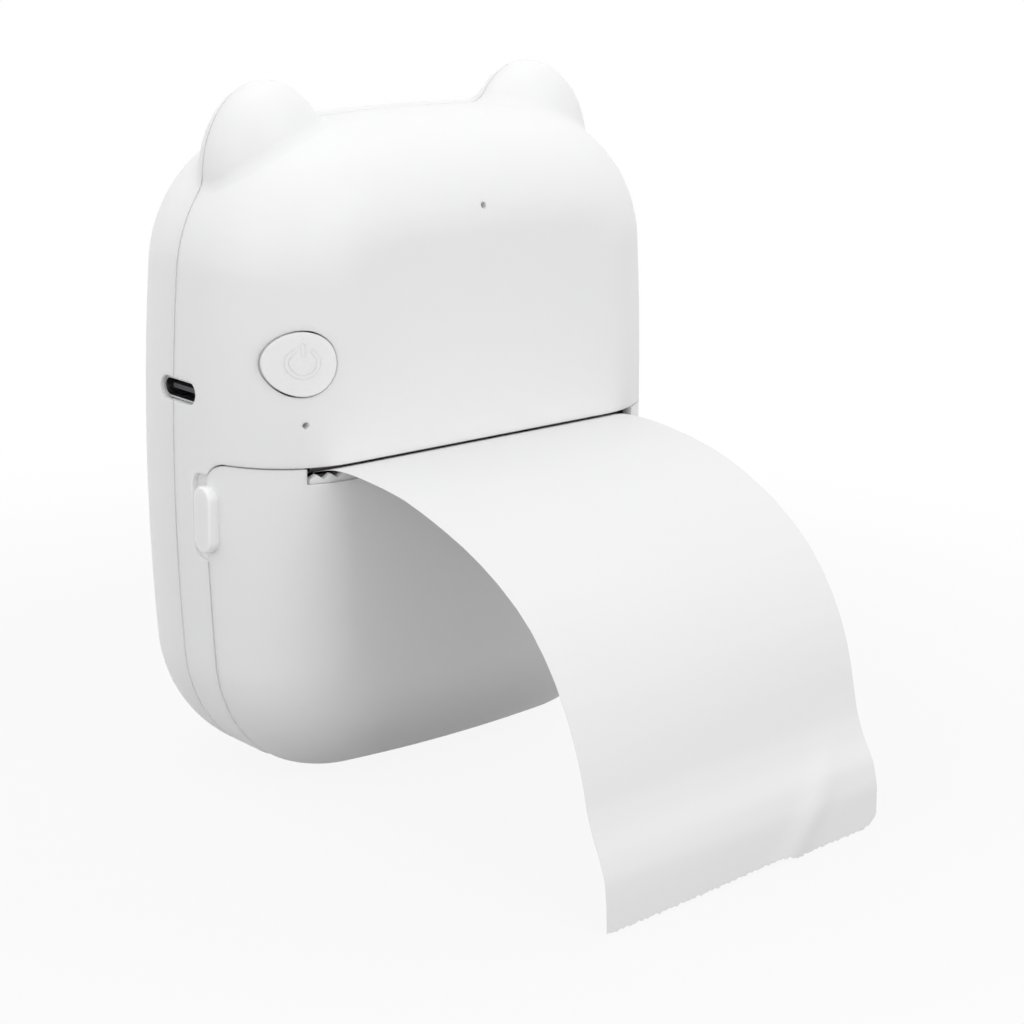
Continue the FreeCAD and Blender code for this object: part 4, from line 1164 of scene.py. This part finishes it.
WEB_RUN = ((9.44, 36.07), (-9.1, 48.46), (-9.66, 48.74), (-9.95, 48.86))


@dataclass(frozen=True)
class Lamp:
    """A soft studio lamp.

    Attributes:
        name: Name of the lamp.
        place: Where it hangs, in metres.
        size: Side of its square face.
        power: Watts.
    """

    name: str
    place: Place
    size: float
    power: float

    def hang(self, target: Vector) -> None:
        """Hang the lamp and turn it to the printer.

        Args:
            target: Point that it faces.
        """
        deselect()
        bpy.ops.object.light_add(type="AREA", location=self.place)
        lamp = bpy.context.object
        lamp.name = self.name
        lamp.data.size = self.size
        lamp.data.energy = self.power
        lamp.rotation_euler = (target - lamp.location).to_track_quat("-Z", "Y").to_euler()


@dataclass
class Studio:
    """Camera, floor, lamps and backdrop.

    Attributes:
        azimuth: Turn of the camera round the printer, in degrees.
        elevation: Height of the camera over the horizon.
        roll: Turn of the camera about its own axis.
        distance: Distance of the camera from its target in metres.
        target: Point in the middle of the picture.
        lens: Focal length in millimetres.
        sensor: Width of the camera's sensor in millimetres.
        clip: Nearest and furthest distance that the camera sees.
        ambient: Light of the room on the printer.
        floor_size: Side of the square floor.
        floor_drop: How far the floor lies below the printer.
        floor_grey: Colour of the floor.
        floor_rough: Roughness of the floor.
        floor_glow: Share of plain white that the floor shows beside the printer.
        shadow_reach: Distances from the middle between which the floor goes over to plain white.
        lit: Point that the lamps face.
        lamps: The lamps.
    """

    azimuth: float = -40.58
    elevation: float = 15.66
    roll: float = 0.67
    distance: float = 0.43494
    target: Place = (0.02291, 0.0, 0.03205)
    lens: float = 92.706
    sensor: float = 36.0
    clip: Point = (0.01, 20.0)
    ambient: float = 0.95
    floor_size: float = 8.0
    floor_drop: float = 0.0001
    floor_grey: float = 0.5
    floor_rough: float = 0.9
    floor_glow: float = 0.9
    shadow_reach: Point = (0.08, 0.2)
    lit: Place = (0.0, -0.02, 0.05)
    lamps: tuple[Lamp, ...] = (
        Lamp("key_lamp", (0.05, -0.78, 0.62), 0.6, 1.3),
        Lamp("side_lamp", (-0.9, -0.25, 0.4), 0.6, 0.95),
        Lamp("top_lamp", (0.0, 0.1, 0.95), 0.6, 0.4),
    )

    def camera(self) -> None:
        """Set the camera at the angle of the photograph."""
        turn, rise, roll = (math.radians(value) for value in (self.azimuth, self.elevation, self.roll))
        back = Vector((math.sin(turn) * math.cos(rise), -math.cos(turn) * math.cos(rise), math.sin(rise)))
        right = (-back).cross(Vector((0.0, 0.0, 1.0))).normalized()
        up = right.cross(-back)
        sideways = math.cos(roll) * right + math.sin(roll) * up
        upward = math.cos(roll) * up - math.sin(roll) * right
        pose = Matrix((sideways, upward, back)).transposed().to_4x4()
        pose.translation = Vector(self.target) + back * self.distance
        deselect()
        bpy.ops.object.camera_add()
        camera = bpy.context.object
        camera.matrix_world = pose
        camera.data.sensor_width = self.sensor
        camera.data.lens = self.lens
        camera.data.clip_start, camera.data.clip_end = self.clip
        bpy.context.scene.camera = camera

    def seen_white(self, tree: bpy.types.NodeTree) -> Socket:
        """Give 1 for rays of the camera, and for mirrored and passed ones.

        Args:
            tree: Node tree to add to.

        Returns:
            The socket with 0 or 1.
        """
        path = tree.nodes.new("ShaderNodeLightPath")
        value = path.outputs["Is Camera Ray"]
        for other in ("Is Glossy Ray", "Is Transmission Ray"):
            both = tree.nodes.new("ShaderNodeMath")
            both.operation = "MAXIMUM"
            tree.links.new(value, both.inputs[0])
            tree.links.new(path.outputs[other], both.inputs[1])
            value = both.outputs[0]
        return value

    def floor(self) -> None:
        """Lay the pale floor, which shows white and keeps a faint shadow."""
        deselect()
        bpy.ops.mesh.primitive_plane_add(size=self.floor_size, location=(0.0, 0.0, -self.floor_drop))
        floor = bpy.context.object
        floor.name = "floor"
        material = bpy.data.materials.new("pale_floor")
        material.use_nodes = True
        tree = material.node_tree
        surface = tree.nodes["Principled BSDF"]
        grey = (self.floor_grey, self.floor_grey, self.floor_grey, 1.0)
        set_inputs(surface, {"Base Color": grey, "Roughness": self.floor_rough, "Specular IOR Level": 0.0})
        glow = tree.nodes.new("ShaderNodeEmission")
        away = tree.nodes.new("ShaderNodeVectorMath")
        away.operation = "LENGTH"
        tree.links.new(tree.nodes.new("ShaderNodeTexCoord").outputs["Object"], away.inputs[0])
        spread = tree.nodes.new("ShaderNodeMapRange")
        spread.interpolation_type = "SMOOTHSTEP"
        near, far = self.shadow_reach
        set_inputs(spread, {"From Min": near, "From Max": far, "To Min": self.floor_glow})
        tree.links.new(away.outputs["Value"], spread.inputs["Value"])
        share = tree.nodes.new("ShaderNodeMath")
        share.operation = "MULTIPLY"
        blend = tree.nodes.new("ShaderNodeMixShader")
        tree.links.new(self.seen_white(tree), share.inputs[0])
        tree.links.new(spread.outputs["Result"], share.inputs[1])
        tree.links.new(share.outputs[0], blend.inputs[0])
        tree.links.new(surface.outputs[0], blend.inputs[1])
        tree.links.new(glow.outputs[0], blend.inputs[2])
        tree.links.new(blend.outputs[0], tree.nodes["Material Output"].inputs["Surface"])
        floor.data.materials.append(material)

    def backdrop(self) -> None:
        """Surround the printer with even light that shows as white."""
        world = bpy.data.worlds.new("studio")
        world.use_nodes = True
        tree = world.node_tree
        strength = tree.nodes.new("ShaderNodeMapRange")
        set_inputs(strength, {"To Min": self.ambient, "To Max": 1.0})
        tree.links.new(self.seen_white(tree), strength.inputs["Value"])
        set_inputs(tree.nodes["Background"], {"Color": (1.0, 1.0, 1.0, 1.0)})
        tree.links.new(strength.outputs["Result"], tree.nodes["Background"].inputs["Strength"])
        bpy.context.scene.world = world

    def build(self) -> None:
        """Set up the whole studio."""
        self.camera()
        self.floor()
        self.backdrop()
        for lamp in self.lamps:
            lamp.hang(Vector(self.lit))
        bpy.context.scene.view_settings.view_transform = "Standard"
        LOG.info("studio: %d lamps", len(self.lamps))


def main() -> None:
    """Dress the printer piece by piece and set up the studio."""
    logging.basicConfig(level=logging.INFO, format="%(name)s: %(message)s")
    palette = Palette()
    case = Case(
        palette,
        {"front_shell": CASE_WHITE, "rear_shell": CASE_WHITE, "paper_cover": CASE_WHITE,
         "tear_bar": CASE_WHITE, "hinge_pin": PLAIN_STEEL},
    )
    case.dress()
    case.mould()
    button = PowerButton(
        palette, {"power_button": BUTTON_WHITE, "switch_body": DARK_PLASTIC, "switch_plunger": CREAM_NYLON}
    )
    button.dress()
    button.sign()
    Assembly(
        palette,
        {"main_board": BOARD_GREEN, "controller_chip": DARK_PLASTIC, "board_connectors": CREAM_NYLON,
         "indicator_lamps": LAMP_CREAM, "light_guides": GUIDE_PAINTED_SHADE, "usb_socket": SOCKET_STEEL,
         "usb_tongue": DARK_PLASTIC, "battery_cell": CELL_FOIL, "battery_pad": FOAM_BLACK,
         "battery_leads": WIRE_RED, "motor_leads": WIRE_RED},
    ).dress()
    PrintHead(
        palette,
        {"chassis": CHASSIS_GREY, "head_ceramic": HEAD_CERAMIC, "head_heat_sink": SINK_ALUMINIUM,
         "head_pivot_pin": PLAIN_STEEL, "head_springs": PLAIN_STEEL, "head_ribbon": RIBBON_AMBER,
         "paper_sensor": DARK_PLASTIC, "platen_shaft": PLAIN_STEEL, "platen_rubber": ROLLER_RUBBER,
         "platen_bushings": GEAR_ACETAL},
    ).dress()
    Assembly(
        palette,
        {"platen_gear": GEAR_ACETAL, "idler_gear": GEAR_ACETAL, "reduction_gear": GEAR_ACETAL,
         "gear_pins": PLAIN_STEEL, "motor_body": MOTOR_STEEL, "motor_flange": PLAIN_STEEL,
         "motor_shaft": PLAIN_STEEL, "motor_pinion": TURNED_BRASS},
    ).dress()
    Assembly(palette, {"paper_roll": ROLL_PAPER, "roll_core": CORE_GREY}).dress()
    screws = Fasteners(
        palette,
        {"case_screws": PLAIN_STEEL, "board_screws": PLAIN_STEEL, "chassis_screws": PLAIN_STEEL,
         "motor_screws": PLAIN_STEEL},
    )
    screws.dress()
    screws.recess()
    PaperSheet(
        palette, "printed_strip", "paper_strip", LEFT_EDGE, RIGHT_EDGE, "hung", ("tear_bar",),
        shift=0.4, torn=TornEnd(depth=0.8), fold=Fold(height=0.7),
    ).build()
    PaperSheet(
        palette, "inner_web", "paper_web", WEB_RUN, WEB_RUN, "stretched", ("paper_roll",),
        columns=24, rows=40, passes=0,
    ).build()
    Studio().build()


if __name__ == "__main__":
    main()
